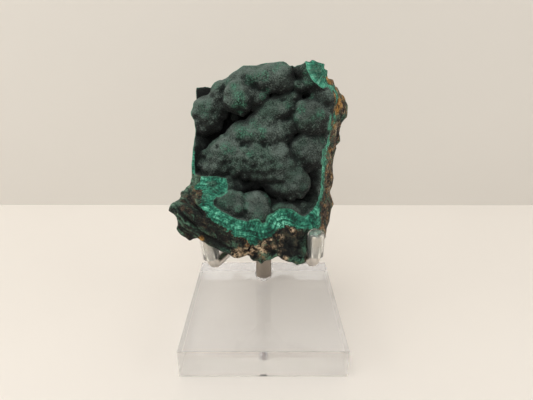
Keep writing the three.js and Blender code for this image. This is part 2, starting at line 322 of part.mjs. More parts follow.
const MATERIALS = {
  stone: new THREE.MeshStandardMaterial({ color: 0x33423b, roughness: 0.8, metalness: 0.0 }),
  acrylic: new THREE.MeshStandardMaterial({ color: 0xe9ecea, roughness: 0.05, metalness: 0.0, transparent: true, opacity: 0.35 }),
  steel: new THREE.MeshStandardMaterial({ color: 0xb9b5ae, roughness: 0.22, metalness: 1.0 }),
  vinyl: new THREE.MeshStandardMaterial({ color: 0xe4e6e3, roughness: 0.1, metalness: 0.0, transparent: true, opacity: 0.4 }),
};
const group = new THREE.Group();
function add(name, geometry, material) {
  const mesh = new THREE.Mesh(geometry, material.clone()); mesh.name = name; group.add(mesh); return mesh;
}
add("malachite_specimen", geometryOf(specimen), MATERIALS.stone);
add("acrylic_base", geometryOf(base), MATERIALS.acrylic);
add("post", geometryOf(post), MATERIALS.steel);
add("arm_front_left", geometryOf(solid(rod(ARM_L, ROD_DIA, 12, 22))), MATERIALS.steel);
add("arm_front_right", geometryOf(solid(rod(ARM_R, ROD_DIA, 12, 22))), MATERIALS.steel);
add("arm_rear", geometryOf(solid(rod(ARM_B, ROD_DIA, 12, 12, 8))), MATERIALS.steel);
add("sleeve_front_left", geometryOf(solid(sleeve(along(ARM_L, SLEEVE_L_Z[0]), along(ARM_L, SLEEVE_L_Z[1]), SLEEVE_L_Z[1] - SLEEVE_L_Z[0]))), MATERIALS.vinyl);
add("sleeve_front_right", geometryOf(solid(sleeve(along(ARM_R, SLEEVE_R_Z[0]), along(ARM_R, SLEEVE_R_Z[1]), SLEEVE_R_Z[1] - SLEEVE_R_Z[0]))), MATERIALS.vinyl);
add("sleeve_rear", geometryOf(solid(sleeve(along(ARM_B, SLEEVE_B_Z[0]), along(ARM_B, SLEEVE_B_Z[1]), SLEEVE_B_Z[1] - SLEEVE_B_Z[0]))), MATERIALS.vinyl);

export default group;
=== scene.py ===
import math
import bpy, bmesh
import numpy as np
from mathutils import Vector, Matrix, Quaternion


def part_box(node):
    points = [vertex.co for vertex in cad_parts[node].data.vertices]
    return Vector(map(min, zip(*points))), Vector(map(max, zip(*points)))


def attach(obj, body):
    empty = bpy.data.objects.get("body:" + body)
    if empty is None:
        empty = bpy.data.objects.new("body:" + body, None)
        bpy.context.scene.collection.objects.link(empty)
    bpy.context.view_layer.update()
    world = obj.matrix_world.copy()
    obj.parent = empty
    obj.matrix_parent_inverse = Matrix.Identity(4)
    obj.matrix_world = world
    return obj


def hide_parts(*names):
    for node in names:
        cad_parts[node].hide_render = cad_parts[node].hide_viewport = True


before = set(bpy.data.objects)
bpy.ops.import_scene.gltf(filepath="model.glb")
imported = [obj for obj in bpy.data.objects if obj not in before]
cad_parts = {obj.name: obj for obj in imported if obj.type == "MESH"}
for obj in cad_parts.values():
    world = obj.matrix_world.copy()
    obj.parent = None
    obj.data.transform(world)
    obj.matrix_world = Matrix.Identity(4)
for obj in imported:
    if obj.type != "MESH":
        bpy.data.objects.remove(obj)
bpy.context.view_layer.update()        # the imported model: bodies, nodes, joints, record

MM = 0.001


def box_mm(node):
    lo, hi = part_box(node)
    return np.array(lo) * 1000, np.array(hi) * 1000


# The stone's tables below are in millimetres for a specimen whose box is NOMINAL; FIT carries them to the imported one.
NOMINAL = np.array([[-25.7859, -22.5526, 32.9], [25.8856, 15.3765, 89.3]])
S_LO, S_HI = box_mm("malachite_specimen")
FIT = (S_HI - S_LO) / (NOMINAL[1] - NOMINAL[0])
to_nominal = lambda P: NOMINAL[0] + (P - S_LO) / FIT

# ------------------------------------------------------------------ the stone's own tables
# outlines are in hundredths of the distance along the middle line from a reference point in front of the stone
EYE = np.array([0.238, -115.487, 92.793])
AX_R = np.array([0.99998447, -0.00487814, 0.00269491])
AX_U = np.array([-0.00072159, 0.36615897, 0.93055203])
AX_F = np.array([0.00552613, 0.93053953, -0.36614976])
SIL = [[-18.14, 28.86], [-16.29, 28.99], [-15.78, 29.17], [-14.11, 28.73], [-13.72, 29.37], [-13.21, 30.01],
  [-12.18, 30.53], [-10.65, 30.91], [-9.75, 31.42], [-9.36, 31.94], [-8.34, 32.71], [-7.44, 33.14], [-6.54,
  33.86], [-5.9, 34.3], [-4.23, 34.3], [-2.69, 34.32], [-1.67, 34.63], [-0.13, 34.94], [1.41, 35.07], [2.95,
  35.27], [4.23, 35.4], [5, 35.01], [5.9, 34.12], [6.67, 34.3], [7.18, 33.81], [7.82, 34.32], [8.85, 34.5],
  [9.75, 34.94], [10.13, 35.45], [11.16, 35.14], [11.8, 35.84], [12.95, 35.19], [14.7, 34.76], [14.54, 33.6],
  [15.47, 33.14], [15.39, 32.32], [15.52, 31.04], [16.93, 30.71], [17.19, 29.76], [17.44, 28.99], [18.08,
  28.73], [18.85, 27.19], [19.88, 26.81], [20.39, 25.65], [21.11, 24.11], [20.91, 22.57], [20.85, 21.16],
  [20.14, 20.39], [19.24, 19.75], [18.98, 18.21], [18.85, 16.67], [19.06, 15.01], [17.57, 14.03], [17.78,
  13.21], [17.44, 12.31], [17.06, 10.77], [16.75, 8.72], [16.88, 6.93], [17.06, 5.39], [16.67, 3.59], [16.03,
  2.05], [16.55, 0.51], [17.06, -1.03], [16.42, -2.31], [16.16, -3.85], [15.98, -5.39], [15.26, -7.18],
  [15.13, -8.72], [15.26, -10], [14.62, -11.03], [13.21, -12.83], [11.67, -14.62], [10.65, -15.72], [9.62,
  -16.08], [7.82, -16.49], [6.8, -15.85], [5.52, -15.65], [4.23, -15.13], [2.95, -14.37], [2.05, -14.57],
  [1.03, -15.26], [-0.13, -15.26], [-0.77, -16.16], [-1.54, -16.29], [-2.31, -15.52], [-3.46, -15.72], [-3.98,
  -15.13], [-4.23, -14.16], [-5, -13.98], [-6.03, -14.37], [-7.31, -14.75], [-8.34, -14.62], [-9.36, -13.9],
  [-9.75, -13.6], [-11.42, -13.08], [-12.57, -12.57], [-13.72, -11.93], [-14.75, -11.54], [-15.78, -10.77],
  [-16.67, -10.34], [-17.44, -9.7], [-18.6, -9.88], [-19.11, -10.18], [-19.88, -10.7], [-20.39, -9.88],
  [-21.16, -9.36], [-21.93, -8.72], [-22.57, -7.95], [-22.88, -7.31], [-22.57, -6.41], [-22.62, -5.39],
  [-22.96, -4.23], [-23.6, -3.59], [-24.24, -3.21], [-25.01, -2.69], [-24.88, -2.18], [-24.5, -1.41], [-23.98,
  -0.85], [-22.96, -0.33], [-22.19, 0.13], [-21.93, 1.03], [-22.37, 1.92], [-21.93, 2.57], [-21.16, 2.9],
  [-20.65, 3.46], [-19.75, 3.85], [-19.37, 4.87], [-18.98, 5.9], [-18.98, 7.18], [-19.03, 8.98], [-18.85,
  10.77], [-18.73, 12.57], [-18.65, 13.47], [-18.47, 14.24], [-18.34, 15.39], [-18.08, 16.67], [-18.01,
  17.96], [-18.21, 18.98], [-18.34, 20.39], [-18.73, 21.03], [-19.16, 21.8], [-19.24, 22.45], [-18.98, 23.09],
  [-18.65, 23.86], [-18.67, 24.5], [-18.47, 25.27], [-18.01, 25.78], [-18.08, 27.19]]
MOUTH = [[-29.88, 43.61], [9.62, 43.61], [9.88, 35.4], [10.13, 34.37], [10.52, 33.35], [11.03, 32.32], [11.67, 31.04],
  [12.44, 30.01], [13.34, 29.24], [14.37, 28.6], [15.78, 28.86], [16.55, 28.47], [17.32, 27.45], [17.83,
  26.16], [17.44, 24.63], [17.11, 23.09], [17.06, 21.55], [16.8, 20.01], [16.55, 18.47], [16.29, 17.19],
  [15.78, 15.9], [15.39, 14.11], [15.01, 12.31], [14.75, 10.77], [14.49, 8.98], [14.16, 7.18], [14.24, 5.64],
  [13.93, 4.1], [13.98, 2.57], [13.6, 1.03], [13.34, -0.26], [12.57, -1.54], [11.67, -2.57], [10.9, -3.46],
  [9.75, -4.23], [8.59, -3.98], [7.57, -3.46], [6.67, -3.03], [5.52, -2.69], [4.49, -2.57], [3.21, -2.77],
  [1.67, -3.33], [0.77, -4.1], [0.26, -5.13], [-0.13, -6.03], [-1.15, -6.23], [-2.44, -5.64], [-3.72, -5.39],
  [-5.52, -5.26], [-7.31, -5], [-8.59, -4.49], [-9.88, -3.59], [-11.42, -2.82], [-12.7, -2.05], [-13.6,
  -1.28], [-13.6, -0.13], [-12.95, 0.77], [-11.42, 1.54], [-10.39, 2.44], [-9.88, 2.95], [-10, 4.1], [-10.39,
  5.52], [-11.93, 5.9], [-13.72, 6.03], [-15.52, 6.03], [-16.93, 6.16], [-17.57, 6.67], [-18.26, 6.8],
  [-18.34, 8.98], [-18.26, 10.77], [-18.21, 12.31], [-18.6, 13.34], [-19.62, 13.72], [-29.88, 13.85]]
BRIGHT = [[-18.98, 6.67], [-17.83, 6.93], [-16.93, 6.16], [-17.32, 4.87], [-17.96, 3.72], [-18.21, 3.08], [-16.67,
  2.69], [-16.42, 1.8], [-16.8, 0.77], [-16.93, -0.26], [-17.19, -1.54], [-16.67, -2.57], [-15.78, -3.59],
  [-14.75, -4.49], [-13.72, -5.39], [-12.44, -6.03], [-11.16, -6.93], [-10.13, -7.82], [-8.98, -8.47], [-8.34,
  -9.36], [-7.31, -9.49], [-6.28, -9.49], [-5.26, -10.26], [-3.98, -11.16], [-2.69, -11.67], [-1.92, -10.77],
  [-0.9, -10.39], [0.38, -9.75], [1.41, -9.36], [2.18, -8.47], [2.95, -7.95], [3.72, -7.57], [4.75, -7.44],
  [5.13, -6.67], [6.03, -7.05], [7.05, -7.31], [8.34, -7.31], [9.36, -6.8], [10.65, -6.8], [11.67, -7.57],
  [12.95, -7.31], [13.72, -6.41], [13.98, -4.87], [13.85, -3.33], [14.24, -2.05], [14.37, -0.77], [14.75,
  0.51], [14.83, 2.57], [14.96, 4.36], [15.13, 6.16], [15.42, 8.21], [15.57, 10.26], [15.78, 12.31], [16.03,
  14.11], [16.29, 15.39], [16.55, 16.93], [17.06, 18.47], [17.44, 20.26], [18.08, 20.78], [17.83, 22.06],
  [17.57, 23.09], [17.83, 24.63], [18.21, 26.16], [18.08, 27.7], [18.73, 27.96], [17.57, 29.76], [16.29,
  29.63], [15.39, 30.91], [14.75, 31.55], [16.29, 32.32], [16.29, 37.2], [8.59, 38.48], [-4.23, 28.22],
  [-22.19, 15.39], [-20.14, 10.26], [-19.37, 7.18]]
# points of the broken front face
CUT = [[-24, -9, 54], [-24.1, -11, 53.8], [-24.4, -18, 53.5], [-25.1, -20, 52.5], [-22.8, -21.5, 51], [-22.5, -22.5,
  48], [-19.9, -22.5, 44.4], [-17, -22, 45.1], [-13.3, -20.5, 41.5], [-9.9, -19, 39.1], [-20.4, -11, 53.8],
  [-19.8, -9.3, 54.4], [-20.3, -15, 53.2], [-21.1, -18.5, 52.9], [-19.3, -18.5, 51.1], [-17.4, -17, 51.1],
  [-19.9, -22, 48.9], [-15.7, -20.5, 48.2], [-13.2, -20, 45], [-21.1, -4.5, 56.5], [-18.7, -6, 56.7], [-14.8,
  -7.3, 55.6], [-11.1, -6.5, 56.2], [-10.9, -8.8, 54.6], [-13.5, -12, 53.3], [-15.6, -13.5, 52.7], [-14, -15,
  51.7], [-11.5, -16, 50.1], [-7.4, -15.5, 47.4], [-3.3, -14.5, 46.6], [0.7, -13.5, 45.9], [4.5, -11, 47.9],
  [8.3, -10.8, 47.8], [11.9, -11, 46.3], [14.3, -9.5, 47.6], [16.3, -7.5, 49.4], [17.3, -5.5, 51.2], [17.6,
  -4.2, 55.5], [18, -3, 61.4], [18.7, -2.2, 66.6], [19.8, -1.5, 70.1], [20.5, -1, 74.3], [20.8, -1, 78.6],
  [20.4, -1, 80.5], [-11.9, -18.7, 47], [-7.4, -18.3, 43.5], [-2.1, -16.6, 40.4], [4.2, -14.2, 43.3], [6.8,
  -13.6, 44.3], [10.6, -13, 43.7], [14.2, -12.5, 43.2], [16.4, -11, 44.1], [-7.3, -17.8, 37.2], [-3.3, -16.8,
  36], [-0.4, -17.2, 34.9], [3.3, -17.2, 37.2], [7.6, -18, 36.3], [10.5, -17.8, 35.2], [13, -15.2, 36], [13,
  -13.6, 40.1], [15.6, -11.8, 39.2], [17.6, -10.5, 40.2], [7.6, -15.2, 40.9], [1.3, -16, 39.8], [20.4, -4,
  41.5], [19.2, -7.5, 38.4], [21.7, -1, 46.4], [20.8, 1, 49.7], [22, 2, 54.1], [21.6, 3, 57.7], [22.4, 4, 63],
  [24.1, 6, 65.4], [23.9, 6, 68.6], [25.8, 6, 72.6], [26.2, 7, 75.8], [24.4, 6, 78.8], [22.3, 5, 80.8], [20.3,
  3, 83.2], [11.3, -2.5, 88.6], [12.4, -3.8, 85.9], [14.1, -4, 83.5], [16.2, -3.4, 82.1], [17.4, -2.6, 82.6],
  [14, -0.8, 88.9], [16.7, 0.5, 88], [17.6, 0, 85.6], [15.1, -2, 86], [-20.2, -4, 61.6], [-17.7, -6, 73.7],
  [-18.8, -4, 80.2], [-11.8, -6, 83.1], [-4.9, -6, 87], [5.7, -7, 88.1], [1.7, -9, 76.9], [1.8, -12, 66.7],
  [-6.5, -12, 60.4], [1.8, -13, 55.5], [-5.1, -15.5, 53.4]]
# rounded lobes by mass: how softly they run together, then x, y, z and radius of each
GROUPS = [[2.2, [[5, 0.5, 83.9, 3.71], [0.4, 0.9, 84.2, 3.43], [-3, 1.3, 84.4, 2.72], [2.4, 2.5, 86.3, 2.3], [7, 1,
  82.8, 2.01]]], [1.6, [[-5.7, 3.2, 85.7, 2.17], [-2.2, 3.8, 85.9, 2.04], [-8.6, 2.6, 83.7, 2.47]]], [1.8,
  [[-7.1, 0, 79.3, 4.47], [-4.5, 1.2, 81.1, 2.61], [-9.3, 1.2, 77.4, 2.64], [-6.1, 1.5, 76.2, 2.36]]], [1.6,
  [[-12.9, 2.6, 81.2, 2.63], [-12.2, 1.8, 78.7, 2.34], [-14.7, 2.6, 77.8, 2.22]]], [2.4, [[-17.7, 2.8, 75.1,
  3.73], [-15.6, 2.4, 76.9, 2.37], [-13.1, 2, 75.8, 2.67], [-15.5, 2.6, 71.9, 3.46], [-19, 3.4, 71.7, 2.43],
  [-20.3, 3, 74.2, 1.35], [-18, 3.8, 69.5, 2.45]]], [0.8, [[-13.9, 2.9, 69.7, 1.52]]], [1.5, [[-19.2, 3, 61.9,
  3.12], [-18.8, 5, 56.8, 2.25]]], [0.8, [[-8.4, 3.6, 72.9, 1.67]]], [2.2, [[0.1, 0, 73.8, 3.23], [2.5, 0.6,
  76.1, 2.64], [5.7, 0.5, 77, 2.63], [7.7, 0.4, 77.5, 2.77], [8.8, 0.4, 79.2, 2.17], [6.2, -0.6, 75.1, 2.33],
  [3.6, 0.2, 74.4, 2.35]]], [1.8, [[-2.2, 0.8, 78.9, 3.05], [-0.5, 0.2, 79.2, 2.02], [-4, 1.6, 77.4, 2.06]]],
  [2.6, [[1.9, -0.6, 71.6, 3.24], [6.6, -0.6, 70.7, 3.25], [-2.8, -0.4, 71.9, 2.5], [-0.5, -0.5, 71.9,
  2.65]]], [2.6, [[-2.2, -1.1, 68.4, 4.14], [-6.4, -0.7, 69.5, 3.25], [1.9, -1.3, 68.8, 3.84], [5.7, -0.9,
  68.7, 3.41], [-8.8, -0.4, 67.7, 2.68]]], [3, [[-10.9, -1.8, 63.8, 4.18], [-13.7, -1.2, 62.7, 3.61], [-9.4,
  -0.8, 66, 2.99], [-14.7, -2, 59.5, 3.62], [-16.7, -1, 58.6, 2.44], [-12.2, -2.4, 59, 3.02], [-7, -1.8, 64.1,
  2.98]]], [3, [[-7, -2.6, 61.8, 4.18], [-3.4, -2.4, 63.3, 3.57], [-0.2, -3.2, 62, 4.45], [4.6, -3.2, 62.3,
  4.15], [-8, -2.8, 58.8, 3.16], [-3.8, -3, 58.9, 3.6], [1, -3.4, 58.4, 3.9], [5.2, -3.8, 58.8, 4.18], [8.2,
  -4.8, 57.2, 3.87]]], [2, [[9.6, -6, 55.1, 4.39], [6.2, -4.8, 53.5, 3.61], [3.2, -3.8, 53.1, 2.89], [-1.4,
  -2.6, 55.6, 2.59]]], [1.5, [[11.4, 1.3, 82.5, 2.74], [12.9, 3, 84.6, 3.49], [10, 3.2, 86, 1.88]]], [0.6,
  [[10.1, -0.7, 82.4, 1.65]]], [1.6, [[17.5, 0.2, 79.3, 3.7], [19.5, 1, 76.3, 2.2]]], [1.8, [[13.8, -0.9,
  73.7, 5.54], [18.1, -0.2, 72.4, 3.24], [10.6, -0.5, 74.8, 2.62]]], [2, [[13.4, -0.4, 63.1, 5.9], [10, -0.7,
  64.4, 3.31], [17.2, 0.8, 63.1, 3.06], [13.5, -1.2, 67.6, 2.67]]], [1.8, [[17.7, 2, 56.7, 2.67], [14.9, 2,
  56.1, 3.78], [11.4, 1.2, 57, 2.81]]], [1.2, [[16.7, 1.4, 51.6, 2.86], [15.2, 1, 47.7, 3.05]]], [1.8, [[-8.9,
  -2.2, 53.8, 3.22], [-11.5, -2, 54.4, 2.45], [-5.8, -1.7, 52.3, 2.63], [-3, -1, 50.8, 2.19]]], [1.6, [[-9.9,
  -9.8, 50.1, 4.24], [-12.4, -10, 50.7, 2.62], [-7.7, -11.5, 49.4, 2.89]]], [1.8, [[-1.8, -8.2, 49.3, 4.1],
  [-1.9, -11.2, 46.7, 3.65], [-4.8, -9.5, 50.5, 2.63], [-4.2, -11.5, 47.8, 2.32]]], [2.2, [[6.1, -8.8, 45.7,
  4.19], [9.2, -7.6, 46.1, 2.71], [3.7, -9, 46.4, 2.38], [13.3, -6.2, 45.9, 2.59], [11.1, -5.5, 46.9, 2.14]]]]
# swollen masses under the lobes: outline, rounding, middle of the front, slopes
MOUNDS = [[[[-16.29, 7.18], [-15.26, 9.75], [-14.49, 11.8], [-12.95, 13.6], [-10.9, 15.9], [-8.85, 17.44], [-6.8,
  18.73], [-5, 20.26], [-2.95, 22.57], [-0.9, 23.86], [2.95, 25.4], [6.28, 26.16], [7.57, 24.63], [6.03,
  22.57], [6.54, 20.01], [7.57, 17.96], [6.03, 15.39], [5.52, 12.31], [6.54, 8.98], [8.59, 6.93], [10.39,
  4.62], [10.13, 2.57], [8.08, 1.03], [4.49, 1.03], [1.41, 1.8], [-1.67, 3.85], [-5, 4.87], [-7.82, 6.16],
  [-11.42, 6.41], [-15.01, 6.41]], 4, [-2.5, -4, 64.6], -0.02, 0.075], [[[-18.6, 25.14], [-15.52, 26.16],
  [-11.42, 27.7], [-10.39, 25.65], [-10.39, 22.57], [-11.93, 20.01], [-13.47, 17.7], [-17.06, 17.7], [-18.6,
  19.5]], 3, [-15.7, 0.2, 74.9], 0, 0], [[[-11.42, 29.76], [-8.85, 32.32], [-5.77, 33.86], [-1.15, 34.37],
  [4.49, 34.89], [6.54, 32.83], [6.54, 29.24], [4.49, 27.19], [-0.64, 27.7], [-2.69, 24.63], [-5.77, 23.09],
  [-8.85, 23.6], [-10.9, 26.16]], 3, [-1.6, -1.2, 83], 0, 0.04], [[[6.54, 24.63], [9.62, 25.65], [14.24,
  28.73], [17.06, 27.7], [17.06, 22.57], [16.29, 17.44], [13.21, 16.93], [8.59, 17.96], [6.54, 20.52]], 3,
  [14.2, -2.6, 74.9], 0, 0]]
# small knobs on the masses, as the lobes
KNOBS = [[1.1, [[-8.4, 1, 85, 1.41], [-1.9, -0.2, 84.8, 2.23], [-3.8, 0, 85.6, 1.4], [-0.4, -0.9, 83, 1.68], [0.1,
  -0.8, 85.6, 1.66], [-6.8, 2.9, 86.8, 1.43], [-3.3, 1.5, 87.1, 1.41]]], [0.9, [[-8.3, -1.5, 82.4, 1.67],
  [-6.3, -2.6, 80.9, 1.66], [-7.2, -3.2, 79.1, 1.67], [-9.7, -2.1, 80.9, 1.39], [-5, -2.8, 79, 1.4], [-3.3,
  -0.8, 80.2, 1.83], [-0.5, -1.1, 79.7, 1.41], [-1.9, -1.4, 78.3, 1.13], [-8.7, -2.7, 77.4, 1.4], [-5, -2.2,
  76.7, 1.27], [-3.1, -0.1, 76.2, 1.16], [-10.1, -2.3, 78.4, 1.26], [-6.3, -0.6, 74.8, 1.16], [-6.4, -1.1, 83,
  1.4]]], [0.9, [[-17.7, 0.8, 76.9, 1.73], [-15.4, 0.5, 75.8, 1.73], [-19.8, 0.3, 74.6, 1.17], [-12.9, 0.7,
  79.2, 1.58], [-14.7, 0.6, 77.5, 1.44], [-12.1, 0.6, 76.6, 1.3], [-17, 0.3, 73.5, 1.74], [-19.5, 1.2, 71.8,
  1.47], [-14.3, 0.5, 73.4, 1.75], [-11.7, 1.4, 73.9, 1.32], [-17.6, 1.3, 70, 1.78], [-13.7, 1.2, 70.4, 1.48],
  [-15.5, 0, 71.5, 1.17], [-20.1, 2.5, 69, 1.2]]], [0.9, [[-12.3, 1.5, 81.9, 1.72], [-13.8, 1.1, 80.5, 1.43],
  [-10.8, 1, 83, 1.28], [-8.3, 3.1, 73, 1.49], [-10.4, 5.4, 70.8, 1.23]]], [1.3, [[4.9, -0.7, 84.8, 2.76],
  [1.8, -0.1, 86.7, 1.67], [4.4, 1.3, 87.7, 1.68], [6.6, -0.6, 86.2, 1.66], [0.7, 0, 81.2, 1.42], [2.7, -0.9,
  82.1, 1.68], [6.9, -1.2, 82.7, 1.67]]], [0.8, [[9.4, -1.6, 83, 1.01], [10.8, -1.7, 82.2, 1.12], [10.6, 0.1,
  85.6, 1.4], [12.8, -1.3, 83.6, 1.95], [11.3, -1.3, 86.8, 1.24], [13.8, -0.9, 81.6, 1.41], [9.5, 1, 86.4,
  1.13]]], [0.9, [[16.6, -1.6, 80, 1.96], [18.3, -2.1, 79, 1.68], [14.7, -1, 79.7, 1.41], [18.5, -1.7, 76.4,
  1.42], [16.3, -2.3, 77.9, 1.41]]], [1.1, [[11.2, -2.7, 76.6, 2.24], [13.9, -3.9, 77, 1.67], [16.2, -4.2,
  74.8, 1.95], [18, -3.2, 71.8, 1.71], [12.6, -4.9, 73.3, 1.67], [10.1, -3.8, 73.9, 1.41], [14.6, -5.1, 71.9,
  1.4], [18.4, -3.3, 74.4, 1.13], [11, -4.1, 71.7, 1.41]]], [0.9, [[8.7, -1.6, 79.5, 1.27], [6.4, -1.5, 77.2,
  1.84], [4.4, -1.2, 77.5, 1.42], [8.1, -1.9, 76.4, 1.14], [5.9, -1.9, 75.3, 1.71], [0.1, -1.8, 74.7, 1.71],
  [2.4, -0.5, 77.4, 1.71], [1.8, -1.6, 75.8, 1.42], [3.9, -2, 75.6, 1.42], [-1.6, -2.2, 73.3, 1.43], [0.7,
  -0.7, 77.1, 1.29], [3.3, 0.8, 78.9, 1.3]]], [0.9, [[-1.3, -2.4, 71.9, 1.71], [1.9, -2.6, 72.8, 1.43], [5.3,
  -2.2, 71.9, 1.72], [7.7, -2.2, 71.9, 1.44], [8.9, -1.9, 70.4, 1.45], [-3.3, -2.9, 71.2, 1.43]]], [0.9,
  [[-6.3, -2.7, 70, 1.86], [-3.3, -3.5, 69.5, 1.71], [-0.5, -3.7, 69.9, 1.71], [2.1, -3.8, 69.9, 1.43], [4.8,
  -3.1, 70, 1.72], [-8, -2.8, 68.5, 1.44], [-5.1, -3.5, 67.8, 1.3], [-1.6, -4.1, 67.6, 1.43], [2.4, -3.9,
  67.6, 1.43], [5.6, -3.5, 68.4, 1.44], [0.4, -3.3, 71.5, 1.14], [7.4, -3, 69.4, 1.15], [-10.3, -3.5, 67.5,
  1.15], [-11.9, -2.7, 67.9, 1.16]]], [0.9, [[-10.6, -4.4, 65.3, 1.72], [-13.3, -4.3, 64.1, 1.73], [-15.2,
  -4.2, 62.3, 1.74], [-12.2, -4.8, 62.1, 1.74], [-9.5, -4.7, 63, 1.73], [-14, -5, 59.7, 1.75], [-11.4, -4.8,
  59.1, 1.61], [-16.5, -4.4, 59.3, 1.47], [-15.3, -4.8, 57.8, 1.18], [-8, -4.5, 64.8, 1.44], [-8.9, -5.4,
  60.8, 1.59], [-12.4, -4.1, 66.1, 1.3]]], [0.9, [[-5.1, -4.7, 64.8, 1.72], [-1.9, -4.7, 65.4, 1.72], [-6.9,
  -5.4, 62.6, 1.72], [-3.9, -5.9, 62.4, 1.72], [-6.9, -5.8, 59.7, 1.74], [-4, -6.3, 59.9, 1.44], [-5.5, -5.7,
  57.5, 1.46], [-8.4, -5.4, 58, 1.46], [-0.5, -5.3, 65, 1.43], [-2.5, -5.9, 57.3, 1.6]]], [0.9, [[1.9, -4.8,
  64.9, 2], [5.4, -3.9, 65.5, 1.73], [-0.4, -6.6, 62, 1.57], [2.4, -6.1, 62.8, 1.85], [5.6, -6, 63.1, 1.71],
  [1.3, -6.8, 60, 1.72], [4.8, -6.9, 60.3, 1.86], [-1, -6.7, 59.7, 1.44], [7.7, -6.6, 60.9, 1.58], [3.9, -3.4,
  66.3, 1.45], [6.5, -5.2, 64.4, 1.29]]], [0.9, [[-0.5, -6.2, 57.1, 1.6], [2.2, -6.8, 57.3, 1.59], [5.1, -7.3,
  57.4, 1.73], [8, -7.5, 58.1, 1.72], [10.3, -8.2, 57.1, 1.86], [11.5, -8.7, 54.9, 1.72], [8.8, -9, 54.6,
  1.72], [6.6, -8, 53.6, 1.74], [4, -6.5, 53.7, 1.76], [2.2, -5.4, 54.3, 1.33], [8.1, -7.9, 51.7, 1.46], [5.5,
  -6.1, 50.4, 1.49], [10.3, -6.5, 59, 1.44], [10.7, -8.7, 52.7, 1.45], [0.4, -4.9, 54.8, 1.19]]], [1, [[9.6,
  -2.8, 65.3, 2.03], [12.2, -2.5, 67.6, 2.02], [14.5, -3.4, 66.3, 2.02], [11.3, -4.2, 63.2, 2.03], [13.9,
  -4.7, 62.1, 1.88], [9.6, -3.8, 62.2, 1.46], [15.9, -4.3, 64.8, 1.44], [13, -3.8, 59.1, 1.48], [10.4, -5,
  60.4, 1.31], [16.7, -4.2, 61.7, 1.46], [8.7, -3.5, 63.9, 1.17]]], [0.9, [[16.8, -3, 56.4, 1.5], [14.8, -2,
  56.7, 1.51], [15.7, -3.2, 53.9, 1.51], [16.6, -4.1, 51.9, 1.36], [14.6, -2.9, 51.1, 1.53], [15.4, -5.1,
  49.4, 1.51], [13.4, -3.7, 48.5, 1.38], [13.3, -1.6, 49.7, 1.24], [11.9, -6.9, 48.1, 1.49], [14.3, -6.7,
  48.1, 1.2]]], [0.9, [[-18.7, 0.3, 64.1, 1.5], [-19.4, -1.3, 62.4, 1.49], [-17.1, -2.7, 63.1, 1.47], [-18.8,
  -2.3, 59.9, 1.49]]], [0.9, [[-10, -4.8, 55.7, 1.77], [-8, -4.8, 54.4, 1.78], [-5.4, -3.3, 52.9, 1.51],
  [-9.6, -7, 54.2, 1.46], [-6.8, -5.3, 53, 1.34], [-3.2, -3.6, 54.3, 1.06], [-2, -3.6, 53.3, 1.06], [-3.6,
  -2.6, 52.3, 1.07]]], [1.1, [[-11.9, -11.3, 52.4, 1.7], [-9.3, -10.8, 53.1, 1.7], [-7.1, -10.4, 52.4, 1.71],
  [-10.1, -12.5, 50.4, 1.97], [-7.5, -13, 50, 1.69], [-12.4, -12.2, 50.9, 1.41], [-8.7, -13.4, 48.6, 1.41]]],
  [1.1, [[-1.9, -9.2, 51.6, 2.3], [-4.2, -10.7, 51.3, 1.57], [-0.2, -10.1, 50.7, 1.72], [0.7, -11.4, 48.7,
  1.43], [-3.3, -12.7, 48.7, 1.7], [-0.7, -12.6, 48.3, 1.7], [-1.9, -13.5, 46.8, 1.7], [-4.5, -12.2, 49.7,
  1.28], [1.3, -12, 47.1, 1.15]]], [1.1, [[5.1, -9.7, 48.6, 1.74], [7.8, -9.7, 48.3, 1.74], [9.6, -9.8, 47.1,
  1.46], [3.4, -10.1, 48.2, 1.31]]]]
# small hollows in the skin
PITS = [[-2.7, -1.7, 82.5, 0.85], [-5.8, -1.3, 84.9, 0.7], [-6.9, -3.8, 76.7, 0.56], [-0.2, -7.6, 63.5, 0.46], [-2.7,
  -7.8, 60.6, 0.69], [2.7, -8.6, 59.4, 0.69], [-1.3, -7.9, 58.8, 0.58], [7.1, -4.3, 68.3, 0.75], [-11.2, -6.3,
  61.3, 0.58], [-9.7, -6.3, 61.4, 0.46], [5.5, -2.3, 78.7, 0.57], [6.3, -2.4, 79, 0.45], [4.1, -3.6, 73.6,
  0.63], [5.6, -3.4, 73.4, 0.69], [7, -2.8, 73.5, 0.63], [-5.9, -4.8, 66.3, 0.75], [-4.5, -5.4, 66.2, 0.58],
  [0.1, -5.6, 66.2, 0.52], [1.9, -5.5, 66.2, 0.46], [-3.3, -7.4, 63.2, 0.46], [2.4, -8.2, 61.9, 0.46], [-5.3,
  -7.3, 61.9, 0.46], [-7.6, -7, 62.4, 0.43], [11.1, -5.7, 65.1, 0.4], [6.7, -7.1, 63.4, 0.46], [8.6, -3.2,
  75.5, 0.46], [-13.7, -5.1, 65.8, 0.58], [-6.9, -6.4, 57.1, 0.59], [-4.1, -4.7, 55.3, 0.72], [11.7, -6.2,
  62.2, 0.41], [8.7, -10.3, 56.3, 0.43], [4.8, -8.3, 56.2, 0.47], [1.3, -6.4, 53.4, 0.54], [-5.1, -13.8, 49.1,
  0.68], [-14.3, -1.2, 75.2, 0.46], [-17.5, -4, 62.2, 0.53]]
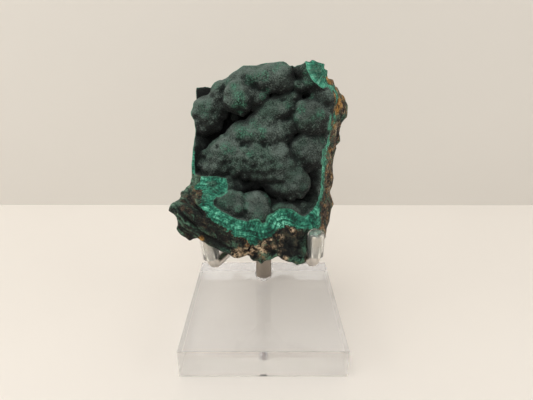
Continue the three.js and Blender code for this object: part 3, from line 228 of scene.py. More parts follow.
# where the stone's colours and its painted shade lie: x, y, z, radius and strength of each patch
PATCH = {"green": [[-8.2, -3.1, 82.3, 1.4, 0.8], [-6.8, -4.4, 79.8, 1.9, 0.95], [-6, -4.2, 78.1, 1.7, 0.85], [-7.7,
  -4.2, 77.8, 1.4, 0.7], [-3.8, -1.5, 84.3, 1.7, 0.6], [-1.6, -2, 85.2, 1.7, 0.6], [0.4, -2.4, 85.2, 1.7,
  0.8], [3.5, -1, 87.3, 1.9, 0.7], [5.7, 0.2, 87.7, 2, 0.7], [0.7, -1.2, 81.3, 1.4, 0.6], [-0.2, -2.1, 79.8,
  1.1, 0.8], [-6.5, -4.2, 70, 2, 0.95], [-3.9, -4.6, 70.4, 1.7, 0.6], [-0.2, -4.8, 70.7, 1.4, 0.9], [-0.2,
  -5.4, 69.1, 0.9, 0.8], [-1.6, -4.4, 71.2, 1.4, 0.6], [-3, -3.2, 72.7, 1.4, 0.6], [-10.8, -5.6, 65.9, 2,
  0.85], [-8.8, -5.7, 65.1, 1.4, 0.6], [-3.9, -6.7, 64.4, 1.1, 0.9], [-5.6, -5.5, 65.6, 1.4, 0.4], [10.5,
  -4.5, 76.3, 1.7, 0.95], [9.2, -4.1, 74, 1.4, 0.6], [11.1, -3.8, 77.6, 1.4, 0.5], [15.7, -5.9, 75.1, 1.7,
  0.85], [14, -6.4, 74.4, 1.1, 0.5], [9.4, -2, 83.1, 1.1, 0.7], [12.3, -2.7, 84.2, 1.7, 0.55], [11.7, -2.8,
  86.3, 1.4, 0.5], [6.6, -2.9, 77.4, 1.1, 0.7], [-16.3, -0.7, 77.1, 1.7, 0.35], [-17, -1.1, 74.3, 1.5, 0.45],
  [-17.5, -0.5, 77.3, 1.4, 0.35], [-5.9, -10.5, 52.7, 1.7, 0.6], [-5, -12.8, 50.5, 1.4, 0.6], [-9, -11.3, 54,
  1.7, 0.45], [0.7, -9, 52.5, 1.2, 0.7], [1.9, -9.6, 50.5, 1.2, 0.6], [-7.2, -14.3, 50.3, 1.4, 0.5], [-11.4,
  -13.5, 51.7, 1.7, 0.4], [-1.6, -14.5, 48.2, 2, 0.45], [3.9, -10.1, 49.4, 2, 0.3], [7.1, -10.9, 49.2, 1.7,
  0.2], [19.4, -2.2, 70.2, 1.2, 0.6], [13.8, -1.6, 79.5, 1.1, 0.6], [-13.9, 0.4, 82.3, 1.1, 0.5], [-10.1,
  -0.3, 83.4, 1.1, 0.5], [-6.8, -2.2, 75.3, 1.1, 0.5], [-16.7, -1, 75.7, 1.2, 0.35], [18.7, -3.9, 72.3, 1.1,
  0.5], [17.1, -2.8, 67.4, 1.2, 0.4], [11.6, -9.9, 55.3, 1.4, 0.35], [-10.9, -2.4, 79.2, 1.1, 0.4]], "shade_spots":
  [[6.5, -10.7, 49.4, 1.7, 0.4], [12.9, -5.7, 76.4, 3.6, 0.42], [11.3, -10, 55.6, 3.2, 0.5], [8.2, -8.7, 58.8,
  3.4, 0.38], [7.6, -6.6, 63, 2.9, 0.32], [-8.9, -13.3, 52.6, 2.8, 0.38], [-1.6, -12.7, 50.5, 3.1, 0.36], [6,
  -10.8, 48.5, 2.6, 0.48], [13.4, -6, 65.2, 3.5, 0.14], [15.1, -3.3, 82.1, 1.4, 0.2], [9, -10.3, 56, 3.7,
  0.36], [11.4, -9.8, 53.7, 2.3, 0.3], [-1.6, -12.1, 51.2, 2.9, 0.28], [-9.7, -13.7, 51.8, 3.1, 0.3], [6.5,
  -11.2, 48.9, 2.6, 0.45], [12.2, -6, 64.6, 4, 0.34], [4.2, -7.8, 56.1, 2.9, 0.25], [-17.4, 1.8, 79.3, 1.5,
  0.5], [-14.3, 0.2, 79.8, 1.2, 0.5], [-20.1, 5.8, 80, 1.5, 0.9], [-16.4, 5.5, 80.3, 1.5, 0.8], [-18.5, 5.7,
  81.2, 1.2, 0.8], [-9.5, 2.3, 73.1, 1.5, 0.5], [-12.5, 1.6, 70.6, 1.8, 0.8], [-19.4, 0.1, 66.7, 1.8, 0.7],
  [-17.5, 2.2, 67.4, 1.8, 0.6], [-14.2, 0.7, 69.2, 1.5, 0.6], [11.5, -3.4, 68.7, 0.9, 0.6], [8.9, -2.4, 78.7,
  0.8, 0.6], [7.9, -1.5, 85.2, 0.8, 0.5], [14.5, -7.4, 48.7, 1.8, 0.5], [9.9, -8.3, 49, 1.8, 0.5], [14.9,
  -3.3, 56.4, 1.8, 0.35], [15.8, -5.9, 51, 1.8, 0.4], [-0.5, -8.4, 53.2, 1.8, 0.6], [3.8, -5.7, 50.2, 1.8,
  0.6], [-3.5, -3.2, 54.2, 1.8, 0.5], [7.7, -5.7, 49.3, 1.5, 0.6], [-18.3, 5.6, 79.5, 2.4, 0.9], [5.6, -3.2,
  73.5, 1.4, 0.7], [-10.9, 4.5, 70.6, 2.5, 0.55], [-15.4, 4.7, 66.9, 2.5, 0.55], [-19.5, -2.8, 57.8, 1.5,
  0.5], [2, -4, 49.9, 2.5, 0.4]], "mint": [[13.6, -2.9, 86.1, 1.7, 0.6], [11.9, -3, 87.4, 1.1, 0.8], [13,
  -3.8, 84.8, 1.1, 0.9], [14.7, -3.8, 83.2, 1.1, 0.9], [16.5, -3.2, 82.4, 0.9, 0.9], [-17.5, -7, 56.1, 1.8,
  0.9], [-12.3, -6.4, 55.9, 1.8, 0.7], [-15.8, -8.8, 54.8, 1.7, 0.5], [-16.3, -12.5, 53.2, 1.7, 0.5], [-12.8,
  -16.9, 49.9, 1.7, 0.9], [-15.6, -16.1, 51.3, 1.4, 0.8], [-10.1, -16.5, 48.5, 1.4, 0.6], [-7.4, -16.5, 46, 2,
  0.5], [5.1, -12.6, 45.5, 2.3, 0.8], [4.5, -11.3, 47.4, 2, 0.4], [13.3, -11.5, 45.6, 1.8, 0.7], [15.9, -8.6,
  47.2, 1.8, 0.8], [17.8, -4.1, 52.2, 1.5, 0.8], [17.8, -3.3, 58.4, 1.5, 0.9], [18.7, -1.7, 62.6, 1.5, 0.9],
  [19.2, -1.2, 65.5, 1.5, 0.8], [11.9, -2.7, 87.9, 1.6, 0.8], [13.6, -3.5, 85.1, 1.6, 1], [16.2, -3, 82.9,
  1.7, 1], [-0.4, -14.9, 43.7, 1.4, 0.5], [16.1, -10.8, 44.6, 1.2, 0.5]], "low_shade": [[6.5, -14.8, 42.1, 2.6,
  1], [9.4, -14.7, 41.3, 2.3, 1], [4.7, -16.2, 39.6, 1.7, 1], [8.2, -14.1, 43, 2, 0.9], [5.9, -15.4, 41.1, 2,
  0.8], [-10.6, -19.3, 43.1, 2.2, 0.6], [-13.5, -20.3, 44.2, 2.2, 0.4], [-20.7, -19.8, 51.7, 2.4, 0.5], [9.4,
  -15.8, 39.3, 5.5, 1], [4.7, -17, 38, 2.9, 0.8], [12.4, -13.3, 41.9, 2.6, 0.9], [6.8, -14.3, 43.1, 2, 0.8],
  [11.1, -17, 36.1, 2.6, 0.9], [-8.8, -18.8, 41.2, 2.5, 0.7], [-11.5, -19.7, 41.4, 2.2, 0.6], [-20.2, -19.4,
  51.5, 2.1, 0.35], [16.2, -11.5, 39.7, 2.4, 0.8], [-0.4, -17.2, 34.9, 2.3, 0.6], [3.3, -15.6, 40.8, 2, 0.6]],
  "rings": [[5.1, -12.6, 45.5, 4.4, 1], [2.2, -12.6, 46.7, 2.3, 0.7], [-7.4, -16.5, 46, 2.5, 0.5], [-3.3,
  -15.8, 43.8, 2.3, 0.5], [-10.9, -16.6, 49.1, 2.2, 0.3], [-14.8, -15.4, 51.6, 1.9, 0.3]], "bare": [[20, -1.3,
  80.6, 0.9, 0.9], [20.3, -2, 79, 1.1, 1], [20.1, -2.1, 77.3, 1.1, 1], [19.9, -2, 75.6, 1.1, 1], [19.7, -2.3,
  74, 0.9, 0.8]], "dull": [[15.4, -2.9, 84.2, 1.1, 0.6], [13.9, -2.4, 86.6, 1.7, 1], [15.1, -1.2, 87.3, 1.4,
  0.9], [14.8, -2.7, 85.3, 1.1, 0.7], [13, -2.6, 87.1, 0.8, 0.5], [-15.1, -7.7, 55.4, 1.5, 0.8], [-16.3,
  -12.2, 53.3, 1.4, 0.5], [-17, -13.7, 52.7, 1.1, 0.6], [-14.3, -9.7, 54.2, 1.2, 0.4], [11.6, -11.4, 45.9,
  0.9, 0.3]], "deep": [[14.2, -11.3, 45.5, 2.1, 0.8], [17, -6.9, 48.5, 1.5, 0.6], [18.2, -3.4, 52, 1.2, 0.5],
  [1.9, -14.7, 42.9, 2, 0.8], [-2.1, -16.1, 42.1, 2, 0.7], [9.5, -11.9, 45.8, 1.8, 0.8], [11.4, -10, 46.8,
  1.5, 0.7], [-4.7, -15.9, 44.8, 1.7, 0.35], [-14.8, -7.6, 55.4, 1.2, 0.9], [-16.8, -14.7, 52.2, 1.7, 0.6],
  [14.8, -2.1, 86.3, 1.4, 0.5], [-14.4, -14.4, 52.1, 1.1, 0.4], [-8.7, -18.2, 44.7, 1.1, 0.6], [8, -11.3,
  46.8, 1.5, 0.4], [6.2, -14.1, 43.6, 1.4, 0.4]], "wing": [[-20.6, -5.6, 55.9, 2.7, 1], [-22.4, -9.7, 53.9, 2,
  1], [-23.5, -18.3, 53.4, 1.9, 1], [-19.5, -21.3, 49.5, 3.2, 1], [-21.3, -22.6, 47.1, 2.6, 1], [-16.9, -21.8,
  46.4, 2.9, 0.95], [-13.3, -20.4, 42.7, 2.5, 0.9], [-15.8, -21.5, 44.2, 2.4, 0.9], [-10.4, -19.3, 41.2, 2.2,
  0.8], [-18.8, -12.5, 53.5, 1.7, 0.4]], "lip": [[-22, -7.5, 54.5, 1.5, 0.9], [-21.3, -5.3, 55.8, 1.2, 0.9],
  [-22.8, -9.2, 54, 1.2, 1], [-22.9, -14.3, 53.5, 1.1, 0.8], [-23.7, -16.6, 53.4, 1.4, 1], [-24.6, -18.8,
  53.1, 1.1, 1], [-20.5, -6.7, 55.3, 1.2, 0.6], [-22.5, -12.2, 53.6, 1.1, 0.5], [-18.3, -14.1, 52.9, 1.1,
  0.5], [-23.3, -17.7, 53.4, 1.6, 1], [-22.1, -17.3, 53.3, 1.1, 0.8], [-20.1, -5.1, 56.7, 1.2, 0.6], [-22.8,
  -9, 54, 1.2, 0.5]], "black": [[-20, -19, 51.6, 1.1, 0.45], [7.6, -16.1, 39.5, 1.7, 0.8], [11.5, -14.4, 40.2,
  1.5, 0.7], [10.6, -13.8, 42.5, 1.5, 0.7], [3.6, -15.8, 40.3, 1, 0.8], [6.5, -17, 38.3, 1.1, 0.7], [9.9,
  -16.3, 38.3, 1.7, 0.8], [12.9, -12.7, 37.3, 1.2, 0.8], [1.3, -16.1, 39.5, 1, 0.7], [4.2, -14.4, 43.1, 0.9,
  0.7], [6.5, -15.5, 40.8, 1, 0.8], [-16.4, -18.6, 50, 1.1, 0.9], [-14.7, -19.3, 48.8, 1.1, 0.9], [-13.2,
  -19.3, 47.3, 1.1, 0.8], [-12.2, -19.3, 46.1, 1.4, 0.9], [-10.3, -19, 44.4, 1.7, 0.85], [-11.9, -19.7, 43.9,
  1.6, 0.5], [-5.8, -17.7, 42.2, 1.1, 1], [-3.3, -16.9, 39.9, 1, 0.9], [-18.5, -18.4, 50.8, 0.9, 1], [1.3,
  -15.8, 40.3, 1, 0.8], [1.3, -16.6, 38.1, 1.1, 0.8], [5, -16.5, 39.1, 1.1, 0.8], [4.2, -15, 41.8, 0.9, 0.9],
  [7.1, -14, 43.6, 1, 1], [10, -13.3, 43.5, 1.2, 0.6], [7.1, -15.4, 40.8, 1.2, 0.7], [8.5, -17, 38, 1.7, 0.9],
  [5.6, -17.3, 37.6, 1.1, 0.7], [10.5, -16.9, 37, 1.4, 0.7], [12.4, -13.4, 41.3, 1.2, 0.5], [14.5, -12, 44.5,
  1.2, 0.5], [-8.6, -18.6, 39.9, 1.1, 0.5], [-23.7, -20, 52.7, 1.3, 0.7], [20.5, -3.2, 45.3, 0.9, 0.6]],
  "brown": [[-20, -19, 51.6, 1.3, 1], [-22, -19.5, 52.7, 1.3, 0.8], [-21.8, -12.8, 53.6, 1.4, 0.7], [-18.5,
  -12.9, 53.3, 1.1, 0.8], [-18.9, -9.9, 54.3, 1, 0.7], [-9.3, -18.9, 43.5, 1.9, 0.7], [-7.4, -18.4, 41.6, 1.4,
  0.6], [-5.5, -17.5, 39.6, 1.4, 0.6], [9.7, -15.3, 40, 1.4, 0.35], [11.8, -15, 38.6, 1.2, 0.3], [-2.2, -16.8,
  36, 1.7, 0.7], [18.9, -5.7, 44.7, 1.8, 1], [20.1, -3.2, 47, 1.9, 0.8], [21, 0, 48.6, 1.6, 0.7], [21.5, 1.4,
  53, 1.9, 0.7], [21.4, 2.7, 58.1, 2.2, 0.6], [22, 2.7, 66.1, 1.5, 0.8], [23.1, 4.5, 67.9, 1.6, 0.6], [-13.9,
  -20.3, 45.7, 1.4, 0.4], [-16.2, -20.8, 48.1, 1.3, 0.4]], "tan": [[-7.8, -18.1, 38.3, 2, 1], [-5, -17.2,
  38.2, 1.7, 0.9], [-2.4, -16.7, 39.2, 1.9, 1], [-0.4, -16.5, 38.7, 1.4, 1], [0.1, -15.9, 40.7, 1, 0.8], [1.9,
  -15.5, 41.1, 0.7, 0.8], [5, -15, 41.8, 0.8, 1], [8.2, -13.8, 43.5, 0.9, 1], [9.1, -14.3, 42.1, 0.6, 0.8],
  [3, -16.3, 39.3, 0.9, 0.8], [5, -16.2, 39.6, 0.7, 0.6], [4.4, -17.1, 37.8, 0.9, 0.7], [6.4, -17.9, 36.6, 1,
  0.9], [7.1, -13.4, 44.5, 0.7, 0.8], [22.3, 2.9, 70.1, 1.8, 0.9], [20.5, 1.1, 61.2, 1.2, 0.5], [21.2, 0.9,
  54.4, 1.3, 0.6], [18.4, -8.4, 41.5, 1.2, 0.8], [18.8, -8.1, 39.7, 1.2, 0.7], [21, 1.1, 50.8, 1.3, 0.5]],
  "ochre": [[22.5, 1.5, 77.4, 2.4, 1], [21.4, -0.1, 75.6, 2, 1], [20.3, -2, 79.3, 1.4, 0.9], [23.9, 5.1, 78.7,
  1.5, 0.7], [18.6, 0.2, 83.5, 1.4, 1], [16.6, -1.8, 84.4, 1.1, 0.9], [16.3, -1.6, 85.2, 0.8, 0.9], [18, 0,
  84.3, 1.1, 1], [19.8, 1.6, 82.8, 0.9, 0.8], [21.2, 2.5, 81, 1.2, 0.8], [20.9, 0.3, 71.2, 1.2, 0.7], [20.3,
  0.7, 63.5, 1.1, 0.7], [21.6, 1.7, 54.9, 0.9, 0.5], [-16.7, -21.9, 44.8, 0.8, 0.8], [18, -8.9, 42.4, 0.9,
  0.6]], "moss": [[-1, -17.1, 34.8, 1.2, 0.9], [1.9, -17.2, 36.5, 1.7, 0.9], [3.3, -17.2, 37.2, 1.4, 0.8],
  [10.5, -17.6, 35.7, 2, 0.9], [8, -18.2, 35.9, 1.4, 0.8], [25.5, 5.8, 75.4, 1.2, 0.8], [24.2, 4.2, 72.6, 1.8,
  0.9], [21.8, 1, 73.1, 1.5, 0.8], [-3.3, -16.7, 35.2, 1, 0.8], [11.8, -15.4, 37.8, 1.5, 0.8], [11.5, -14.4,
  40.2, 1.5, 0.7], [12.4, -12.8, 43.6, 1.5, 0.7], [9.7, -12.9, 44.3, 0.9, 0.5], [-8.2, -18.6, 41.1, 1.4, 0.8],
  [-11, -19.5, 40.1, 1.1, 0.8], [-9.7, -18.9, 39.4, 1.1, 0.6], [20.5, 2.1, 81.8, 1.2, 0.6], [24.6, 5.1, 77.3,
  0.9, 0.6]]}


# ------------------------------------------------------------------ numbers
def smin(a, b, k):
    h = np.maximum(k - np.abs(a - b), 0) / k
    return np.minimum(a, b) - h * h * k * 0.25


def smax(a, b, k):
    return -smin(-a, -b, k)


def ss(e0, e1, x):
    t = np.clip((x - e0) / (e1 - e0), 0, 1)
    return t * t * (3 - 2 * t)


def inside(poly, a, b):
    """Signed distance to a closed outline, positive inside."""
    P = np.array(poly, float)
    d = np.full(a.shape, 1e9)
    ins = np.zeros(a.shape, bool)
    for (x0, y0), (x1, y1) in zip(P, np.roll(P, -1, 0)):
        ex, ey = x1 - x0, y1 - y0
        wx, wy = a - x0, b - y0
        t = np.clip((wx * ex + wy * ey) / (ex * ex + ey * ey + 1e-12), 0, 1)
        d = np.minimum(d, (wx - ex * t) ** 2 + (wy - ey * t) ** 2)
        if y0 != y1:
            ins ^= ((y0 > b) != (y1 > b)) & (a < ex * (b - y0) / ey + x0)
    return np.where(ins, 1, -1) * np.sqrt(d)


def hash01(i, j, k, seed):
    h = (i * 73856093) ^ (j * 19349663) ^ (k * 83492791) ^ (seed * 40503 + 977)
    h = (h ^ (h >> 13)) & 0x7FFFFFFF
    h = (h * 1274126177) & 0x7FFFFFFF
    h = h ^ (h >> 15)
    h = (h * 69069 + 12345) & 0x7FFFFFFF
    return ((h >> 7) & 0xFFFFFF) / 16777216.0


def noise(P, size, seed):
    """Value noise, -1 to 1, cells of that size."""
    q = P / size
    i = np.floor(q).astype(np.int64)
    t = q - i
    t = t * t * t * (t * (6 * t - 15) + 10)
    x, y, z = i[..., 0], i[..., 1], i[..., 2]
    o = 0
    for dx in (0, 1):
        wx = t[..., 0] if dx else 1 - t[..., 0]
        for dy in (0, 1):
            wy = t[..., 1] if dy else 1 - t[..., 1]
            for dz in (0, 1):
                wz = t[..., 2] if dz else 1 - t[..., 2]
                o = o + wx * wy * wz * hash01(x + dx, y + dy, z + dz, seed)
    return o * 2 - 1


TURN = np.array([[0.36, 0.48, -0.8], [-0.8, 0.6, 0.0], [0.48, 0.64, 0.6]])


def fbm(P, size, seed, octaves=3, gain=0.5):
    o, w, n = 0, 1.0, 0.0
    for k in range(octaves):
        o = o + w * noise(P, size, seed + 17 * k)
        n += w
        w *= gain
        size /= 2.03
        P = P @ TURN
    return o / n


def cells(P, size, seed, jitter=0.9):
    """Distance to the nearest and second nearest scattered point, in cell sizes, and a number for the nearest."""
    q = P / size
    i = np.floor(q).astype(np.int64)
    f = q - i
    f1 = np.full(P.shape[:-1], 9.0)
    f2 = f1.copy()
    who = f1.copy()
    for dx in (-1, 0, 1):
        for dy in (-1, 0, 1):
            for dz in (-1, 0, 1):
                x, y, z = i[..., 0] + dx, i[..., 1] + dy, i[..., 2] + dz
                r = [dd + 0.5 + jitter * (hash01(x, y, z, seed + s) - 0.5) - f[..., c] for c, (dd, s) in enumerate(((dx, 1), (dy, 2), (dz, 3)))]
                d2 = r[0] ** 2 + r[1] ** 2 + r[2] ** 2
                near = d2 < f1
                f2 = np.where(near, f1, np.minimum(f2, d2))
                who = np.where(near, hash01(x, y, z, seed + 4), who)
                f1 = np.where(near, d2, f1)
    return np.sqrt(f1), np.sqrt(f2), who


def sight(P):
    q = P - EYE
    d = np.maximum(q @ AX_F, 1)
    return 100 * (q @ AX_R) / d, 100 * (q @ AX_U) / d, d


# the broken front face as a thin plate bent through its points
_c = np.array(CUT)
_ca, _cb, _cd = sight(_c)
_n = len(_c)
_phi = lambda r2: 0.5 * r2 * np.log(np.maximum(r2, 1e-9))
_A = np.zeros((_n + 3, _n + 3))
_A[:_n, :_n] = _phi((_ca[:, None] - _ca) ** 2 + (_cb[:, None] - _cb) ** 2) + np.eye(_n) * 0.6
_A[:_n, _n] = _A[_n, :_n] = 1
_A[:_n, _n + 1], _A[:_n, _n + 2] = _ca, _cb
_A[_n + 1, :_n], _A[_n + 2, :_n] = _ca, _cb
_w = np.linalg.solve(_A, np.concatenate([_cd, [0, 0, 0]]))


def plate(a, b):
    o = _w[_n] + _w[_n + 1] * a + _w[_n + 2] * b
    for w, x, y in zip(_w[:_n], _ca, _cb):
        o = o + w * _phi((a - x) ** 2 + (b - y) ** 2)
    return o


def capsule(P, p, q, r):
    p, q = np.array(p, float), np.array(q, float)
    e = q - p
    t = np.clip(((P - p) @ e) / (e @ e), 0, 1)
    return np.linalg.norm(P - p - t[..., None] * e, axis=-1) - r


# ------------------------------------------------------------------ the stand's lines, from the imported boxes
ROD = (box_mm("arm_front_right")[1][0] - box_mm("sleeve_front_right")[0][0])  # not used
B_LO, B_HI = box_mm("acrylic_base")
P_LO, P_HI = box_mm("post")
L_LO, L_HI = box_mm("arm_front_left")
R_LO, R_HI = box_mm("arm_front_right")
K_LO, K_HI = box_mm("arm_rear")
SL_LO, SL_HI = box_mm("sleeve_front_left")
SR_LO, SR_HI = box_mm("sleeve_front_right")
SK_LO, SK_HI = box_mm("sleeve_rear")
POST_R = (P_HI[0] - P_LO[0]) / 2
POST = np.array([(P_LO[0] + P_HI[0]) / 2, (P_LO[1] + P_HI[1]) / 2])
SLEEVE_R = (SR_HI[0] - SR_LO[0]) / 2
ROD_R = 1.55
RIGHT_AXIS = (SR_LO[0] + SR_HI[0]) / 2, (SR_LO[1] + SR_HI[1]) / 2
ARM_Z = R_LO[2] + ROD_R
ARM_R = [[POST[0] + 1.0, POST[1] - 2.1, ARM_Z], [RIGHT_AXIS[0], RIGHT_AXIS[1], ARM_Z], [RIGHT_AXIS[0], RIGHT_AXIS[1], R_HI[2]]]
LEFT_Y = (SL_LO[1] + SL_HI[1]) / 2
LEAN = 1.2                      # the left prong's tip leans out by this much
L_TIP = L_LO[0] + ROD_R * 0.993
ARM_L = [[POST[0] - 1.0, POST[1] - 2.1, ARM_Z], [L_TIP + LEAN, LEFT_Y, ARM_Z], [L_TIP, LEFT_Y, L_HI[2] - 0.19]]
ARM_K = [[POST[0], POST[1], 35.6], [POST[0], POST[1], 41.0], [POST[0], 15.45, 55.2]]
along = lambda arm, z: (np.array(arm[-2]) + (np.array(arm[-1]) - np.array(arm[-2])) * (z - arm[-2][2]) / (arm[-1][2] - arm[-2][2]))


# ------------------------------------------------------------------ the stone
def skin_and_outside(P, fine=True):
    """V: below zero behind the skin of the cavity. C: below zero inside the broken outside. Both in millimetres."""
    x, y, z = P[..., 0], P[..., 1], P[..., 2]
    a, b, d = sight(P)
    mm = d / 100
    s = inside(MOUTH, a, b) * mm
    D = plate(a, b)
    V = smin(3.0 + 0.05 * (z - 60) - 0.09 * x - y, z - (44.6 - 0.02 * x), 2.5)
    V = smin(V, (D + 1.9 * s - d) / 2.0, 1.5)
    for poly, w, p, gx, gz in MOUNDS:
        u = w - inside(poly, a, b) * mm
        v = w + (p[1] + gx * (x - p[0]) + gz * (z - p[2])) - y
        V = smin(V, np.hypot(np.maximum(u, 0), np.maximum(v, 0)) + np.minimum(np.maximum(u, v), 0) - w, 0.6)
    for groups, seam in ((GROUPS, 0.6), (KNOBS if fine else [], 0.35)):
        for k, lobes in groups:
            L = np.full(x.shape, 1e3)
            for lx, ly, lz, r in lobes:
                L = smin(L, np.sqrt((x - lx) ** 2 + (y - ly) ** 2 + (z - lz) ** 2) - r, k)
            V = smin(V, L, seam)
    if fine:
        for lx, ly, lz, r in PITS:
            V = smax(V, r - np.sqrt((x - lx) ** 2 + (y - ly) ** 2 + (z - lz) ** 2), 0.6)
    cut = (D - 1.5 * np.maximum(s, 0) - d) / np.where(s > 0, 1.7, 1.0)
    deep = np.maximum(y - 5, 0)
    out = -inside(SIL, a, b) * mm + 0.22 * deep + 0.02 * deep * deep
    C = smax(out, y - (12.5 + 0.05 * (z - 60) + 1.2 * np.sin(0.21 * x + 1.0) * np.sin(0.17 * z + 0.4) + 0.6 * np.sin(0.5 * x - 0.3 * z)), 4.0)
    C = smax(C, (-12 * (x + 26.8) + 5 * (y + 15)) / 13 - np.maximum(z - 55, 0) * 1.5, 3.0)
    low = np.interp(x, [-28, -23, -20, -16, -12, -8, 10, 14, 18], [44, 44, 44, 43, 37, 32, 32, 35, 38])
    lift = np.interp(x, [-30, -13, -11.4, 18], [46.2, 46.2, 35.6, 35.6])
    rise = ss(0, 1, (y + 17.4) / 3.0)
    under = (np.maximum(low, low + (lift - low) * rise) + np.maximum(y - 4, 0) * 0.45 - z) * 0.8
    C = smax(C, under, 1.0)
    if fine:
        green = inside(BRIGHT, a, b) * mm
        front = ss(-2.2, -0.6, cut - C)                 # 1 on the broken front, 0 on sides, back and underside
        crust = front * np.clip(green / 1.0, -1, 1) + (1 - front) * np.clip((V + crust_depth(P)) / 0.8, -1, 1)
        rough = ss(0.25, -0.6, crust)                   # 1 in the brown rock, 0 in the green crust
        C = smax(C, cut, 0.5)
        w = worn(P, rough)
        edge = ss(-1.6, -0.3, out)                      # the outline is only ever bitten into
        C = C + w * (1 - edge) + (np.maximum(w, -0.05) * 0.4 - 0.22) * edge
        V = V - velvet_relief(P)
    else:
        C = smax(C, cut, 0.5)
    return V, C, cut, a, b, mm


def crust_depth(P):
    """How thick the green crust is under the skin where sides and back break through it, in millimetres."""
    x, z = P[..., 0], P[..., 2]
    right = ss(9, 14, x)
    return (1.0 + 1.1 * ss(12, 4, x)) * (1 - right) + right * (0.55 - 0.7 * ss(82, 86, z)) + (0.7 - 0.4 * right) * fbm(P, 4.0, 16, 2)


def wing_of(P):
    """1 in the layered lower left of the stone."""
    return ss(-6.5, -11.0, P[..., 0] + 0.35 * (P[..., 2] - 42)) * ss(57, 51, P[..., 2]) * ss(4, -3, P[..., 1])


def worn(P, rough):
    """Relief of the broken faces, in millimetres, positive is worn away."""
    W = P + 0.7 * np.stack([noise(P, 2.6, 171), noise(P, 2.6, 172), noise(P, 2.6, 173)], -1)
    lumps = cells(W, 2.6, 21, 0.9)
    small = cells(W, 1.25, 26, 0.9)
    coarse = 0.9 * fbm(P, 3.4, 5, 2) + 1.05 * (lumps[0] - 0.5) + (lumps[2] - 0.5) * 0.5
    coarse = coarse + 0.50 * (small[0] - 0.5) + 0.9 * np.maximum(0, noise(W, 1.5, 12) - 0.22)
    coarse = coarse + 0.34 * noise(W, 0.9, 31)
    # the layers of the lower left run along its edge, steeper towards the top
    wing = wing_of(P)
    run = np.stack([P[..., 0] * 0.22 + P[..., 2] * 0.20, P[..., 1] * 0.28, P[..., 2] + P[..., 0] * 0.92 + 0.7 * fbm(P, 5.0, 47, 2)], -1)
    layers = (np.abs(noise(run, 1.5, 41)) - 0.35) * 1.5 + np.abs(noise(run, 0.7, 43)) * 0.35 + 0.5 * fbm(P, 3.4, 5, 2)
    coarse = coarse * (1 - wing) + (layers + 0.25 * coarse) * wing
    gentle = fbm(P, 2.6, 61, 2) * 0.22 + (cells(P, 1.5, 66, 0.9)[2] - 0.5) * 0.16 + noise(P, 0.8, 63) * 0.08
    return coarse * rough + gentle * (1 - rough)


def velvet_relief(P):
    """Small domes on the skin of the lobes, in millimetres, positive stands out."""
    W = P + 0.5 * np.stack([noise(P, 2.2, 71), noise(P, 2.2, 72), noise(P, 2.2, 73)], -1)
    f1, f2, who = cells(W, 3.3, 81, 0.8)
    g1, g2, who2 = cells(W, 1.6, 85, 0.85)
    big = np.clip(1 - (f1 / 0.82) ** 2, 0, 1) * (0.55 + 0.6 * who)
    small = np.clip(1 - (g1 / 0.85) ** 2, 0, 1)
    much = 0.55 + 0.45 * noise(P, 9.0, 91)
    return (big * 0.19 + small * 0.12) * much + 0.06 * noise(P, 0.9, 95) - 0.07


SLEEVES = [(ARM_L, SL_LO[2], SL_HI[2]), (ARM_R, SR_LO[2], SR_HI[2]), (ARM_K, 44.0, 57.6)]


def field(P, fine=True):
    V, C, cut, a, b, mm = skin_and_outside(P, fine)
    F = smax(V, C, 0.35 if not fine else 0.22)
    # room for the arms and the sleeves that hold the stone
    for arm in (ARM_L, ARM_R):
        F = smax(F, -capsule(P, arm[0], arm[1], ROD_R + 0.4), 0.2)
        F = smax(F, -capsule(P, arm[1], along(arm, arm[1][2] + 4), ROD_R + 0.4), 0.2)
    for arm, z0, z1 in SLEEVES:
        F = smax(F, -capsule(P, along(arm, z0 + 1.4), along(arm, z1 - SLEEVE_R + 0.2), SLEEVE_R + 0.35), 0.2)
    return F


def in_parts(fn, P, size=60000):
    return np.concatenate([fn(P[i:i + size]) for i in range(0, len(P), size)]) if len(P) else np.zeros(0)


STEP = 0.40      # millimetres between the points that the stone is sampled at


